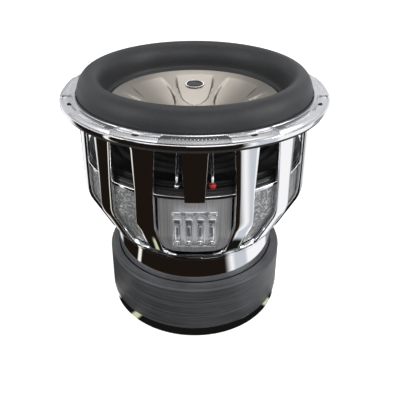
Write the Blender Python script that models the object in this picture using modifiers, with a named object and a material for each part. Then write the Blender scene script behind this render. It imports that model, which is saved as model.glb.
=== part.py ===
"""Car subwoofer loudspeaker, standing on its magnet with the cone facing up.

The origin is the centre of the back plate's underside and +Z runs up the motor's axis.
The terminals face -Y. Azimuths are degrees from -Y, growing towards +X. Lengths are in metres.
"""

import math

import bmesh
import bpy
from mathutils import Matrix, Vector

# ---------------------------------------------------------------- driving dimensions
GAP = 0.0003                     # space left between two pieces that touch
RING_STEPS = 48                  # facets round an outer ring
MOTOR_STEPS = 32                 # facets round a ring of the motor
CORE_STEPS = 24                  # facets round an inner ring

# motor
BACK_PLATE_INSET = 0.0013        # the back plate ends this far inside the boot
BACK_PLATE_THICKNESS = 0.0140
POLE_RADIUS = 0.0368
POLE_RISE = 0.0060               # how far the pole stands above the top plate
VENT_RADIUS = 0.0130
VENT_FLARE = 0.0050
MAGNET_COUNT = 3
MAGNET_THICKNESS = 0.0200
MAGNET_OVERHANG = 0.0080         # past the top plate
MAGNET_BORE_CLEARANCE = 0.0172   # from the pole
BOOT_WALL = 0.0037
BOOT_LIP_THICKNESS = 0.0030
BOOT_LIP_CLEARANCE = 0.0008      # between the boot's lip and the top plate
BOOT_SHOULDER = 0.0026
TOP_PLATE_INSET = 0.0385         # from the basket's outside
TOP_PLATE_THICKNESS = 0.0370
EDGE_CHAMFER = 0.0010
SHORTING_RING_WALL = 0.0090
SHORTING_RING_HEIGHT = 0.0070
SCREEN_THICKNESS = 0.0008
SCREEN_HOLE_RADIUS = 0.0024
SCREEN_HOLE_COUNT = 6

# voice coil
FORMER_CLEARANCE = 0.0006        # between the pole and the former
FORMER_WALL = 0.0006
COIL_WALL = 0.0009               # each of the two windings
COIL_CLEARANCE = 0.0012          # between the outer winding and the top plate
COIL_HEIGHT = 0.0590
FORMER_TAIL = 0.0012             # bare former below the windings
COLLAR_WALL = 0.0028

# basket
FLANGE_RADIUS = 0.1625
FLANGE_WIDTH = 0.0195
BASKET_WALL = 0.0055
SPOKE_COUNT = 16
SPOKE_HALF_TOP = 5.35            # half a spoke's width at its top, degrees
SPOKE_HALF_LOW = 3.95            # half a spoke's width from the shelf down, degrees
WINDOW_HEAD = 0.0101             # solid wall between a window and the flange
SHELF_RISE = 0.1088              # from the base ring's underside to the shelf's top
SHELF_THICKNESS = 0.0045
SHELF_LAP = 0.0010               # how far the shelf runs into the basket's wall
SHELF_WIDTH = 0.0330             # from the basket's outside to the shelf's bore
FRONT_SPOKE_TAIL = 0.0005        # how far the short front spoke hangs below the shelf
BEND_RADIUS = 0.0340
LEG_SLOPE = 27.0                 # degrees from upright, along the leg
FOOT_BEND_RADIUS = 0.0180
FOOT_SLOPE = 58.0
FOOT_OVERHANG = 0.0054           # how far a foot's end stands out past the base ring
FOOT_LIP = 0.0010                # extra width halfway between a foot and the ring
SLOT_HEIGHT = 0.0082             # from the base ring's edge up to a foot's end
BASE_OVERHANG = 0.0020           # how far the base ring stands out past the top plate
BASE_BORE_CLEARANCE = 0.0252     # from the pole
BASE_EDGE_HEIGHT = 0.0035
BOLT_OFFSET = 0.0102             # from the basket's outside to the bolt circle
BOLT_COUNT = 8
BOLT_SLOT_WIDTH = 0.0048
BOLT_SLOT_LENGTH = 0.0085
MOTOR_SCREW_COUNT = 4
MOTOR_SCREW_HEAD_RADIUS = 0.0050
MOTOR_SCREW_HEAD_HEIGHT = 0.0040

# vent mesh behind the lower windows
MESH_THICKNESS = 0.0012
MESH_FRONT_EDGE = 20.6           # degrees; its two ends lie behind the legs beside the panel
MESH_STEPS = 30

# flange trim and gasket
TRIM_SETBACK = 0.0007            # from the basket's outside to the trim's bore
TRIM_INSET = 0.0013              # the trim ends this far inside the flange
TRIM_THICKNESS = 0.0038
TRIM_OUTER_THICKNESS = 0.0010
TRIM_BAND = 0.0035               # plain band at the bore
TRIM_PANEL_COUNT = 8
TRIM_RECESS_HALF = 10.0          # degrees
TRIM_RECESS_FLOOR = 0.0011       # material left under a recess
TRIM_RIM = 0.0022                # plain rim outside a recess
TRIM_RECESS_STEP = 0.0006        # from the plain band to a recess
GASKET_SETBACK = 0.0042          # from the basket's outside to the gasket's bore
GASKET_INSET = 0.0025
GASKET_THICKNESS = 0.0032

# suspension
ROLL_SETBACK = 0.0010            # the roll starts this far inside the basket's outside
ROLL_WIDTH = 0.0330
ROLL_RISE = 0.0268               # from the flange's top to the roll's crest
SURROUND_WALL = 0.0016
SURROUND_FOOT_OVERHANG = 0.0002  # past the basket's outside
SURROUND_LIP_STEP = 0.0006       # from the dish's edge to the lip's bore
SPIDER_WALL = 0.0010
SPIDER_WAVES = 4
SPIDER_WAVE_HEIGHT = 0.0019
SPIDER_INNER_BAND = 0.0110       # flat band from the former to the first wave
SPIDER_OUTER_BAND = 0.0060       # flat band from the last wave to the shelf's bore
SPIDER_RING_INSET = 0.0035       # from the basket's inside
SPIDER_RING_HEIGHT = 0.0050
RING_STEP = 0.0050               # how far the clamp ring steps back from the ring below
RING_BORE_STEP = 0.0005          # from the shelf's bore to the rings' bore
CLAMP_RING_HEIGHT = 0.0038

# cone
DISH_INSET = 0.0038              # from the roll's inner edge to the dish's edge
DISH_EDGE_DROP = 0.0107          # from the flange's top down to the dish's edge
DISH_SLOPE = 25.0                # degrees
DISH_CENTRE_RADIUS = 0.0300      # inside this the dish levels out
DISH_WALL = 0.0015
DISH_POLE_RADIUS = 0.0140        # ring of points round the dish's middle
DISH_COLUMNS = 48
POCKET_COUNT = 8
POCKET_TIP = 0.0430
POCKET_MARGIN = 0.0086           # from a pocket's outer end to the dish's edge
POCKET_ROWS = 6
POCKET_HALF_WIDTH = 0.0270
POCKET_DEPTH = 0.0050
CONE_WALL = 0.0014
CONE_NECK_RISE = 0.0119          # from the upper spider to the cone's neck
CONE_NECK_DROP = 0.0101          # from the dish's face down to the cone's neck
CONE_LIP_OVERHANG = 0.0004       # past the roll's inner edge
CONE_LIP_WIDTH = 0.0073
CONE_CORNER = 0.0006             # keeps the wall's thickness where the lip turns down
FORMER_RISE = 0.0030             # how far the former stands above the neck
BADGE_LENGTH = 0.0260
BADGE_WIDTH = 0.0135
BADGE_THICKNESS = 0.0014
BADGE_MARGIN = 0.0256            # from the dish's edge to the badge's centre
BADGE_FACE_INSET = 0.0002        # the face lies this far inside its rim's two sides
BADGE_CLEARANCE = 0.0005         # between the badge and the pocket it stands in
BADGE_RIM_WIDTH = 0.0012

# terminals
PANEL_SETBACK = 0.0050           # from the basket's inside to the panel's outer face
PANEL_WALL = 0.0030
PANEL_HALF = 18.0                # degrees
PANEL_RISE = 0.0223              # from the base ring's underside to the panel's bottom
PANEL_SKIRT = 0.0286             # height of its lower part, which slopes in with the legs
PANEL_STEPS = 12
PANEL_CORNER = 0.0100            # taken off its two lower corners
TERMINAL_COUNT = 4
TERMINAL_PITCH = 0.0126
BLOCK_DROP = 0.0173              # from the shelf down to the block's top
BLOCK_HEIGHT = 0.0418
BLOCK_DEPTH = 0.0072
BLOCK_SIDE = 0.0016              # wall outside the outer channels
CHANNEL_WIDTH = 0.0084
CHANNEL_BACK = 0.0012
CHANNEL_FLOOR = 0.0020
POST_RADIUS = 0.0026
POST_DROP = 0.0148               # from the block's top down to the post's top
POST_LENGTH = 0.0185
WIRE_HOLE_RADIUS = 0.0018
WIRE_HOLE_DROP = 0.0105          # from the post's top down to the hole
STEM_RADIUS = 0.0012
STEM_CLEARANCE = 0.0005
STEM_LENGTH = 0.0080
STEM_BORE_DEPTH = 0.0055
BUTTON_WIDTH = 0.0076
BUTTON_DEPTH = 0.0078
BUTTON_HEIGHT = 0.0055
BUTTON_REST_GAP = 0.0060         # from the post's top to the button's underside
SPRING_WIRE = 0.0005
SPRING_TURNS = 3.0
SPRING_STEPS = 6                 # points in each turn
SCREW_RADIUS = 0.0025
SCREW_DROP = 0.0034              # from the post's foot down to the screw's axis
SCREW_LENGTH = 0.0040
LEAD_RADIUS = 0.0010
LEAD_END_RADIUS = 0.0710         # where the leads meet the cone, measured along Y
LEAD_RISE = 0.0150               # a lead leaves its bead straight up for about this far
LEAD_REACH = 0.0300
LEAD_POINTS = 11
BEAD_RADIUS = 0.0021
BEAD_HEIGHT = 0.0042
BEAD_INSET = 0.0024              # from the spider ring's outside to the beads

# ---------------------------------------------------------------- sizes worked out from them
BODY_RADIUS = FLANGE_RADIUS - FLANGE_WIDTH
BODY_INNER = BODY_RADIUS - BASKET_WALL
TOP_PLATE_RADIUS = BODY_RADIUS - TOP_PLATE_INSET
BASE_RADIUS = TOP_PLATE_RADIUS + BASE_OVERHANG
MAGNET_RADIUS = TOP_PLATE_RADIUS + MAGNET_OVERHANG
BOOT_INNER = MAGNET_RADIUS + GAP
BOOT_OUTER = BOOT_INNER + BOOT_WALL
BACK_PLATE_RADIUS = BOOT_OUTER - BACK_PLATE_INSET
MAGNET_BORE = POLE_RADIUS + MAGNET_BORE_CLEARANCE
BASE_BORE = POLE_RADIUS + BASE_BORE_CLEARANCE
FORMER_INNER = POLE_RADIUS + FORMER_CLEARANCE
FORMER_OUTER = FORMER_INNER + FORMER_WALL
COIL_OUTER = FORMER_OUTER + 2.0 * (COIL_WALL + GAP)
TOP_PLATE_BORE = COIL_OUTER + COIL_CLEARANCE
MOTOR_SCREW_CIRCLE = 0.5 * (BASE_BORE + BASE_RADIUS)
SHELF_BORE = BODY_RADIUS - SHELF_WIDTH
BOLT_CIRCLE = BODY_RADIUS + BOLT_OFFSET
TRIM_BORE = BODY_RADIUS + TRIM_SETBACK
TRIM_RADIUS = FLANGE_RADIUS - TRIM_INSET
GASKET_BORE = BODY_RADIUS + GASKET_SETBACK
GASKET_RADIUS = FLANGE_RADIUS - GASKET_INSET
ROLL_OUTER = BODY_RADIUS - ROLL_SETBACK
ROLL_INNER = ROLL_OUTER - ROLL_WIDTH
SURROUND_FOOT_OUTER = BODY_RADIUS + SURROUND_FOOT_OVERHANG
DISH_RADIUS = ROLL_INNER - DISH_INSET
SURROUND_LIP_BORE = DISH_RADIUS + SURROUND_LIP_STEP
POCKET_END = DISH_RADIUS - POCKET_MARGIN
CONE_NECK = FORMER_OUTER + GAP
CONE_LIP_OUTER = ROLL_INNER + CONE_LIP_OVERHANG
CONE_LIP_INNER = CONE_LIP_OUTER - CONE_LIP_WIDTH
BADGE_PLACE = DISH_RADIUS - BADGE_MARGIN
SPIDER_WAVE_INNER = FORMER_OUTER + SPIDER_INNER_BAND
SPIDER_WAVE_OUTER = SHELF_BORE - SPIDER_OUTER_BAND
SPIDER_RING_OUTER = BODY_INNER - SPIDER_RING_INSET
CLAMP_RING_OUTER = SPIDER_RING_OUTER - RING_STEP
PANEL_RADIUS = BODY_INNER - PANEL_SETBACK
BEAD_CIRCLE = SPIDER_RING_OUTER - BEAD_INSET
SPOKE_PITCH = 360.0 / SPOKE_COUNT

MAGNET_BOTTOM = BACK_PLATE_THICKNESS + GAP
MAGNET_TOP = MAGNET_BOTTOM + MAGNET_COUNT * MAGNET_THICKNESS + (MAGNET_COUNT - 1) * GAP
TOP_PLATE_BOTTOM = MAGNET_TOP + GAP
TOP_PLATE_TOP = TOP_PLATE_BOTTOM + TOP_PLATE_THICKNESS
BASE_BOTTOM = TOP_PLATE_TOP + GAP
POLE_TOP = TOP_PLATE_TOP + POLE_RISE
COIL_MIDDLE = 0.5 * (TOP_PLATE_BOTTOM + TOP_PLATE_TOP)
COIL_BOTTOM = COIL_MIDDLE - 0.5 * COIL_HEIGHT
COIL_TOP = COIL_MIDDLE + 0.5 * COIL_HEIGHT
SHELF_TOP = BASE_BOTTOM + SHELF_RISE
SHELF_BOTTOM = SHELF_TOP - SHELF_THICKNESS
LOWER_SPIDER_LEVEL = SHELF_TOP + GAP + 0.5 * SPIDER_WALL
SPIDER_RING_BOTTOM = LOWER_SPIDER_LEVEL + 0.5 * SPIDER_WALL + GAP
SPIDER_RING_TOP = SPIDER_RING_BOTTOM + SPIDER_RING_HEIGHT
UPPER_SPIDER_LEVEL = SPIDER_RING_TOP + GAP + 0.5 * SPIDER_WALL
CLAMP_RING_BOTTOM = UPPER_SPIDER_LEVEL + 0.5 * SPIDER_WALL + GAP
CONE_NECK_HEIGHT = UPPER_SPIDER_LEVEL + CONE_NECK_RISE
DISH_FALL = math.tan(math.radians(DISH_SLOPE))
DISH_EDGE_TOP = CONE_NECK_HEIGHT + CONE_NECK_DROP + (DISH_RADIUS - CONE_NECK) * DISH_FALL
CONE_LIP_TOP = DISH_EDGE_TOP - DISH_WALL - GAP
CONE_LIP_BOTTOM = CONE_LIP_TOP - CONE_WALL
SURROUND_LIP_LEVEL = CONE_LIP_TOP + GAP + 0.5 * SURROUND_WALL
FLANGE_TOP = DISH_EDGE_TOP + DISH_EDGE_DROP
FLANGE_BOTTOM = FLANGE_TOP - BASKET_WALL
WINDOW_TOP = FLANGE_BOTTOM - WINDOW_HEAD
TRIM_BOTTOM = FLANGE_TOP + GAP
TRIM_TOP = TRIM_BOTTOM + TRIM_THICKNESS
SURROUND_FOOT_LEVEL = FLANGE_TOP + GAP + 0.5 * SURROUND_WALL
ROLL_CREST = FLANGE_TOP + ROLL_RISE

LEG_SINE = math.sin(math.radians(LEG_SLOPE))
LEG_COSINE = math.cos(math.radians(LEG_SLOPE))
FOOT_SINE = math.sin(math.radians(FOOT_SLOPE))
FOOT_COSINE = math.cos(math.radians(FOOT_SLOPE))
BENDS_RUN = BEND_RADIUS * (1.0 - LEG_COSINE) + FOOT_BEND_RADIUS * (LEG_COSINE - FOOT_COSINE)
BENDS_FALL = BEND_RADIUS * LEG_SINE + FOOT_BEND_RADIUS * (FOOT_SINE - LEG_SINE)
LEG_LENGTH = (BODY_RADIUS - BASE_RADIUS - FOOT_OVERHANG - BENDS_RUN) / LEG_SINE
FOOT_END = BASE_BOTTOM + BASE_EDGE_HEIGHT + SLOT_HEIGHT
BEND_TOP = FOOT_END + BENDS_FALL + LEG_LENGTH * LEG_COSINE

PANEL_BOTTOM = BASE_BOTTOM + PANEL_RISE
PANEL_BEND = PANEL_BOTTOM + PANEL_SKIRT
BLOCK_BACK = PANEL_RADIUS + GAP
BLOCK_FRONT = BLOCK_BACK + BLOCK_DEPTH
BLOCK_TOP = SHELF_BOTTOM - BLOCK_DROP
BLOCK_BOTTOM = BLOCK_TOP - BLOCK_HEIGHT
POST_TOP = BLOCK_TOP - POST_DROP
POST_BOTTOM = POST_TOP - POST_LENGTH
POST_CENTRE = BLOCK_BACK + CHANNEL_BACK + GAP + POST_RADIUS
WIRE_HOLE_HEIGHT = POST_TOP - WIRE_HOLE_DROP
SCREW_HEIGHT = POST_BOTTOM - SCREW_DROP
BUTTON_BOTTOM = POST_TOP + BUTTON_REST_GAP


# ---------------------------------------------------------------- scene and helpers
def empty_scene():
    for item in list(bpy.data.objects):
        bpy.data.objects.remove(item, do_unlink=True)


def add_collection(name):
    collection = bpy.data.collections.new(name)
    bpy.context.scene.collection.children.link(collection)
    return collection


def make_material(name, colour, roughness, metallic, alpha=1.0):
    material = bpy.data.materials.new(name)
    material.use_nodes = True
    shader = material.node_tree.nodes["Principled BSDF"]
    shader.inputs["Base Color"].default_value = (*colour, 1.0)
    shader.inputs["Roughness"].default_value = roughness
    shader.inputs["Metallic"].default_value = metallic
    shader.inputs["Alpha"].default_value = alpha
    return material


empty_scene()
PARTS = add_collection("car_subwoofer_speaker")
CUTTERS = add_collection("cutters")
CHROME = make_material("chrome", (0.80, 0.80, 0.82), 0.06, 1.0)
SILVER = make_material("satin_silver", (0.74, 0.74, 0.75), 0.30, 1.0)
CHAMPAGNE = make_material("champagne_silver", (0.70, 0.66, 0.60), 0.38, 0.9)
BRUSHED = make_material("brushed_aluminium", (0.48, 0.47, 0.47), 0.34, 1.0)
FERRITE = make_material("ferrite", (0.10, 0.10, 0.11), 0.55, 0.2)
RUBBER = make_material("boot_rubber", (0.09, 0.09, 0.10), 0.45, 0.0)
FOAM = make_material("surround_rubber", (0.10, 0.10, 0.11), 0.60, 0.0)
BLACK = make_material("black_plastic", (0.02, 0.02, 0.02), 0.40, 0.0)
PAPER = make_material("cone_pulp", (0.03, 0.03, 0.03), 0.80, 0.0)
CLOTH = make_material("spider_cloth", (0.05, 0.05, 0.05), 0.90, 0.0)
COPPER = make_material("copper", (0.72, 0.38, 0.22), 0.35, 1.0)
MESH_METAL = make_material("mesh_metal", (0.55, 0.55, 0.57), 0.45, 0.8)
TINSEL = make_material("tinsel", (0.75, 0.75, 0.76), 0.35, 0.9)
ACRYLIC = make_material("acrylic", (0.80, 0.82, 0.84), 0.10, 0.0, 0.45)
RED = make_material("red_plastic", (0.60, 0.05, 0.04), 0.40, 0.0)


def place(name, mesh, material):
    """Put a mesh in the speaker's collection under its node's name."""
    mesh.name = name
    mesh.materials.clear()
    mesh.materials.append(material)
    piece = bpy.data.objects.new(name, mesh)
    PARTS.objects.link(piece)
    return piece


def hide_as_cutter(piece):
    for collection in list(piece.users_collection):
        collection.objects.unlink(piece)
    CUTTERS.objects.link(piece)
    piece.hide_render = True
    piece.display_type = "WIRE"
    return piece


def on_circle(radius, azimuth, height):
    """The point at an azimuth in degrees from -Y, growing towards +X."""
    angle = math.radians(azimuth)
    return Vector((radius * math.sin(angle), -radius * math.cos(angle), height))


def turn(name, profile, material, steps=RING_STEPS, closed=True):
    """Turn a profile of (radius, height) about Z; a closed one runs down its outer side."""
    mesh = bpy.data.meshes.new(name)
    points = [(radius, 0.0, height) for radius, height in profile]
    count = len(points)
    edges = [(i, (i + 1) % count) for i in range(count if closed else count - 1)]
    mesh.from_pydata(points, edges, [])
    piece = place(name, mesh, material)
    screw = piece.modifiers.new("turn", "SCREW")
    screw.steps = steps
    screw.render_steps = steps
    screw.use_merge_vertices = True
    screw.merge_threshold = 0.00001
    screw.use_smooth_shade = True
    return piece


def thicken(piece, wall, offset=-1.0):
    shell = piece.modifiers.new("wall", "SOLIDIFY")
    shell.thickness = wall
    shell.offset = offset
    shell.use_even_offset = True
    return piece


def ring(name, inner, outer, bottom, top, material, steps=RING_STEPS, chamfer=0.0):
    profile = [
        (outer - chamfer, top),
        (outer, top - chamfer),
        (outer, bottom + chamfer),
        (outer - chamfer, bottom),
        (inner, bottom),
        (inner, top),
    ]
    if chamfer == 0.0:
        profile = [(outer, top), (outer, bottom), (inner, bottom), (inner, top)]
    return turn(name, profile, material, steps)


def sweep_sector(name, profile, start, end, steps, material):
    """Sweep a profile of (radius, height), listed down its outer side, between two azimuths."""
    mesh = bpy.data.meshes.new(name)
    build = bmesh.new()
    rows = []
    for step in range(steps + 1):
        azimuth = start + (end - start) * step / steps
        rows.append([build.verts.new(on_circle(r, azimuth, z)) for r, z in profile])
    count = len(profile)
    for first, second in zip(rows, rows[1:]):
        for i in range(count):
            j = (i + 1) % count
            build.faces.new((first[i], first[j], second[j], second[i]))
    build.faces.new(rows[0][::-1])
    build.faces.new(rows[-1])
    bmesh.ops.recalc_face_normals(build, faces=build.faces)
    build.to_mesh(mesh)
    build.free()
    return place(name, mesh, material)


def block(name, low, high, material):
    mesh = bpy.data.meshes.new(name)
    build = bmesh.new()
    bmesh.ops.create_cube(build, size=1.0)
    size = Vector(high) - Vector(low)
    middle = (Vector(high) + Vector(low)) / 2.0
    bmesh.ops.transform(build, matrix=Matrix.Diagonal((*size, 1.0)), verts=build.verts)
    bmesh.ops.translate(build, vec=middle, verts=build.verts)
    build.to_mesh(mesh)
    build.free()
    return place(name, mesh, material)


def rod(name, radius, start, end, material, sides=12):
    """A cylinder between two points."""
    start = Vector(start)
    along = Vector(end) - start
    mesh = bpy.data.meshes.new(name)
    build = bmesh.new()
    bmesh.ops.create_cone(
        build, cap_ends=True, segments=sides, radius1=radius, radius2=radius, depth=along.length
    )
    turned = along.to_track_quat("Z", "Y").to_matrix().to_4x4()
    middle = Matrix.Translation(start + along / 2.0)
    bmesh.ops.transform(build, matrix=middle @ turned, verts=build.verts)
    build.to_mesh(mesh)
    build.free()
    return place(name, mesh, material)


def combine(piece, tool, operation="DIFFERENCE"):
    step = piece.modifiers.new(operation.lower(), "BOOLEAN")
    step.operation = operation
    step.object = tool
    step.solver = "EXACT"
    return piece


def join_cutters(name, pieces):
    """Merge several cutters that stand apart into one cutter object."""
    build = bmesh.new()
    for piece in pieces:
        build.from_mesh(piece.data)
        bpy.data.objects.remove(piece, do_unlink=True)
    mesh = bpy.data.meshes.new(name)
    build.to_mesh(mesh)
    build.free()
    return hide_as_cutter(place(name, mesh, BLACK))


def polar_sheet(name, rows, material, keep=None):
    """An open sheet from rows of points; keep(row, column) says which of its cells exist."""
    mesh = bpy.data.meshes.new(name)
    build = bmesh.new()
    grid = [[build.verts.new(point) for point in row] for row in rows]
    for i, (upper, lower) in enumerate(zip(grid, grid[1:])):
        columns = len(upper)
        for j in range(columns):
            k = (j + 1) % columns
            if keep is None or keep(i, j):
                build.faces.new((upper[j], lower[j], lower[k], upper[k]))
    loose = [vert for vert in build.verts if not vert.link_faces]
    bmesh.ops.delete(build, geom=loose, context="VERTS")
    build.to_mesh(mesh)
    build.free()
    mesh.shade_smooth()
    return place(name, mesh, material)


# ---------------------------------------------------------------- motor
def make_yoke():
    """Back plate and vented pole in one forging."""
    profile = [
        (POLE_RADIUS - EDGE_CHAMFER, POLE_TOP),
        (POLE_RADIUS, POLE_TOP - EDGE_CHAMFER),
        (POLE_RADIUS, BACK_PLATE_THICKNESS),
        (BACK_PLATE_RADIUS - EDGE_CHAMFER, BACK_PLATE_THICKNESS),
        (BACK_PLATE_RADIUS, BACK_PLATE_THICKNESS - EDGE_CHAMFER),
        (BACK_PLATE_RADIUS, EDGE_CHAMFER),
        (BACK_PLATE_RADIUS - EDGE_CHAMFER, 0.0),
        (VENT_RADIUS + VENT_FLARE, 0.0),
        (VENT_RADIUS, VENT_FLARE),
        (VENT_RADIUS, POLE_TOP - VENT_FLARE),
        (VENT_RADIUS + VENT_FLARE, POLE_TOP),
    ]
    turn("yoke", profile, CHROME, MOTOR_STEPS)


def make_magnets():
    for index, label in enumerate(("lower", "middle", "upper")[:MAGNET_COUNT]):
        bottom = MAGNET_BOTTOM + index * (MAGNET_THICKNESS + GAP)
        top = bottom + MAGNET_THICKNESS
        ring("magnet_" + label, MAGNET_BORE, MAGNET_RADIUS, bottom, top, FERRITE, MOTOR_STEPS)


def make_magnet_boot():
    """Rubber sleeve round the magnets, with a stepped shoulder over their upper edge."""
    outer = BOOT_OUTER
    lip_bottom = MAGNET_TOP + GAP
    lip_top = lip_bottom + BOOT_LIP_THICKNESS
    lip_bore = TOP_PLATE_RADIUS + BOOT_LIP_CLEARANCE
    profile = [
        (outer - BOOT_SHOULDER, lip_top - 0.4 * BOOT_SHOULDER),
        (outer, lip_top - 1.4 * BOOT_SHOULDER),
        (outer, MAGNET_BOTTOM),
        (BOOT_INNER, MAGNET_BOTTOM),
        (BOOT_INNER, lip_bottom),
        (lip_bore, lip_bottom),
        (lip_bore, lip_top),
        (outer - 2.0 * BOOT_SHOULDER, lip_top),
    ]
    turn("magnet_boot", profile, RUBBER, MOTOR_STEPS)


def make_top_plate():
    profile = [
        (TOP_PLATE_RADIUS - EDGE_CHAMFER, TOP_PLATE_TOP),
        (TOP_PLATE_RADIUS, TOP_PLATE_TOP - EDGE_CHAMFER),
        (TOP_PLATE_RADIUS, TOP_PLATE_BOTTOM),
        (TOP_PLATE_BORE, TOP_PLATE_BOTTOM),
        (TOP_PLATE_BORE, TOP_PLATE_TOP),
    ]
    turn("top_plate", profile, CHROME, MOTOR_STEPS)


def make_shorting_ring():
    inner = POLE_RADIUS + GAP
    top = MAGNET_BOTTOM + SHORTING_RING_HEIGHT
    ring("shorting_ring", inner, inner + SHORTING_RING_WALL, MAGNET_BOTTOM, top, COPPER, MOTOR_STEPS)


def make_vent_screen():
    """Punched disc that keeps dirt out of the pole's vent."""
    radius = VENT_RADIUS - GAP
    bottom = VENT_FLARE + GAP
    top = bottom + SCREEN_THICKNESS
    disc = rod("vent_screen", radius, (0.0, 0.0, bottom), (0.0, 0.0, top), BLACK, 24)
    holes = []
    for index in range(SCREEN_HOLE_COUNT):
        centre = on_circle(0.6 * radius, index * 360.0 / SCREEN_HOLE_COUNT, 0.0)
        low = centre + Vector((0.0, 0.0, bottom - SCREEN_THICKNESS))
        high = centre + Vector((0.0, 0.0, top + SCREEN_THICKNESS))
        holes.append(rod("screen_hole", SCREEN_HOLE_RADIUS, low, high, BLACK, 8))
    combine(disc, join_cutters("screen_holes", holes))


# ---------------------------------------------------------------- basket
def arc_points(start, radius, last_slope, steps):
    """Points after `start` on an arc that turns inwards; slopes are degrees from upright."""
    points = []
    first_slope = start[2]
    base = math.radians(first_slope)
    for step in range(1, steps + 1):
        degrees = first_slope + (last_slope - first_slope) * step / steps
        slope = math.radians(degrees)
        inwards = radius * (math.cos(base) - math.cos(slope))
        down = radius * (math.sin(slope) - math.sin(base))
        points.append((start[0] - inwards, start[1] - down, degrees))
    return points


def leg_profile():
    """Outer skin of a leg from the bend down to its foot, as (radius, height, slope)."""
    points = [(BODY_RADIUS, BEND_TOP, 0.0)]
    points += arc_points(points[-1], BEND_RADIUS, LEG_SLOPE, 2)
    radius = points[-1][0] - LEG_LENGTH * LEG_SINE
    height = points[-1][1] - LEG_LENGTH * LEG_COSINE
    points.append((radius, height, LEG_SLOPE))
    points += arc_points(points[-1], FOOT_BEND_RADIUS, FOOT_SLOPE, 2)
    return points


def inside_skin(point, depth):
    """The point that lies `depth` behind a point of the leg's outer skin."""
    radius, height, degrees = point
    slope = math.radians(degrees)
    return (radius - depth * math.cos(slope), height + depth * math.sin(slope))


def basket_columns(half_width):
    """Azimuths of a row's points: each spoke's centre and its two edges."""
    azimuths = []
    for index in range(SPOKE_COUNT):
        centre = index * SPOKE_PITCH
        azimuths += [centre, centre + half_width, centre + SPOKE_PITCH - half_width]
    return azimuths


def make_basket():
    """Cast frame: flange, spokes that curve in as legs, spider shelf and slotted base ring."""
    front_end = SHELF_BOTTOM - FRONT_SPOKE_TAIL
    upper = [
        (FLANGE_RADIUS, FLANGE_BOTTOM, SPOKE_HALF_TOP),
        (BODY_RADIUS, FLANGE_BOTTOM, SPOKE_HALF_TOP),
        (BODY_RADIUS, WINDOW_TOP, SPOKE_HALF_TOP),
        (BODY_RADIUS, SHELF_TOP, SPOKE_HALF_LOW),
        (BODY_RADIUS, front_end, SPOKE_HALF_LOW),
    ]
    legs = [(radius, height, SPOKE_HALF_LOW) for radius, height, _ in leg_profile()]
    edge_top = BASE_BOTTOM + BASE_EDGE_HEIGHT
    lip_radius = 0.5 * (legs[-1][0] + BASE_RADIUS) + FOOT_LIP
    lip_height = 0.5 * (legs[-1][1] + edge_top)
    base = [
        (lip_radius, lip_height, SPOKE_HALF_LOW),
        (BASE_RADIUS, edge_top, SPOKE_HALF_LOW),
        (BASE_RADIUS, BASE_BOTTOM, SPOKE_HALF_LOW),
        (BASE_BORE, BASE_BOTTOM, SPOKE_HALF_LOW),
    ]
    levels = upper + legs + base
    window_first = 2
    front_first = 4
    window_last = len(upper) + len(legs) - 2
    slot_row = window_last + 2
    columns_per_spoke = 3

    def keep(row, column):
        sector, place_in_sector = divmod(column, columns_per_spoke)
        in_window = place_in_sector == 1
        if window_first <= row <= window_last and in_window:
            return False
        front_spoke = (sector == 0 and place_in_sector == 0) or (
            sector == SPOKE_COUNT - 1 and place_in_sector == 2
        )
        if front_first <= row <= window_last and front_spoke:
            return False
        return not (row == slot_row and in_window)

    rows = []
    for radius, height, half_width in levels:
        rows.append([on_circle(radius, a, height) for a in basket_columns(half_width)])
    basket = thicken(polar_sheet("basket", rows, CHROME, keep), BASKET_WALL)
    shelf_outer = BODY_INNER + SHELF_LAP
    shelf = ring("shelf_tool", SHELF_BORE, shelf_outer, SHELF_BOTTOM, SHELF_TOP, CHROME)
    combine(basket, hide_as_cutter(shelf), "UNION")
    return basket


def make_bolt_slots():
    """One cutter with every mounting slot, through the trim, the flange and the gasket."""
    slots = []
    low = FLANGE_BOTTOM - 2.0 * GASKET_THICKNESS
    high = TRIM_TOP + 2.0 * GASKET_THICKNESS
    half_run = 0.5 * (BOLT_SLOT_LENGTH - BOLT_SLOT_WIDTH)
    for index in range(BOLT_COUNT):
        azimuth = (index + 0.5) * 360.0 / BOLT_COUNT
        tool = rod("slot", 0.5 * BOLT_SLOT_WIDTH, (0.0, 0.0, low), (0.0, 0.0, high), BLACK, 8)
        tool.data.transform(Matrix.Rotation(math.pi / 8.0, 4, "Z"))
        for vert in tool.data.vertices:
            vert.co.x += half_run if vert.co.x > 0.0 else -half_run
        turned = Matrix.Rotation(math.radians(azimuth), 4, "Z")
        moved = Matrix.Translation(on_circle(BOLT_CIRCLE, azimuth, 0.0))
        tool.data.transform(moved @ turned)
        slots.append(tool)
    return join_cutters("bolt_slots", slots)


def make_motor_screws():
    """Cap screws through the base ring into the top plate, head side only."""
    bottom = BASE_BOTTOM + BASKET_WALL + GAP
    for index in range(MOTOR_SCREW_COUNT):
        azimuth = (index + 0.5) * 360.0 / MOTOR_SCREW_COUNT
        low = on_circle(MOTOR_SCREW_CIRCLE, azimuth, bottom)
        high = low + Vector((0.0, 0.0, MOTOR_SCREW_HEAD_HEIGHT))
        rod("motor_screw_%d" % (index + 1), MOTOR_SCREW_HEAD_RADIUS, low, high, BLACK)


def make_vent_mesh():
    """Fine screen just inside the legs, open at the front where the terminal panel stands."""
    inset = BASKET_WALL + 2.0 * GAP
    skin = [(BODY_RADIUS, SHELF_BOTTOM - GAP, 0.0)] + leg_profile()[:-1]
    outer = [inside_skin(point, inset) for point in skin]
    inner = [inside_skin(point, inset + MESH_THICKNESS) for point in reversed(skin)]
    end = 360.0 - MESH_FRONT_EDGE
    sweep_sector("vent_mesh", outer + inner, MESH_FRONT_EDGE, end, MESH_STEPS, MESH_METAL)


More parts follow.
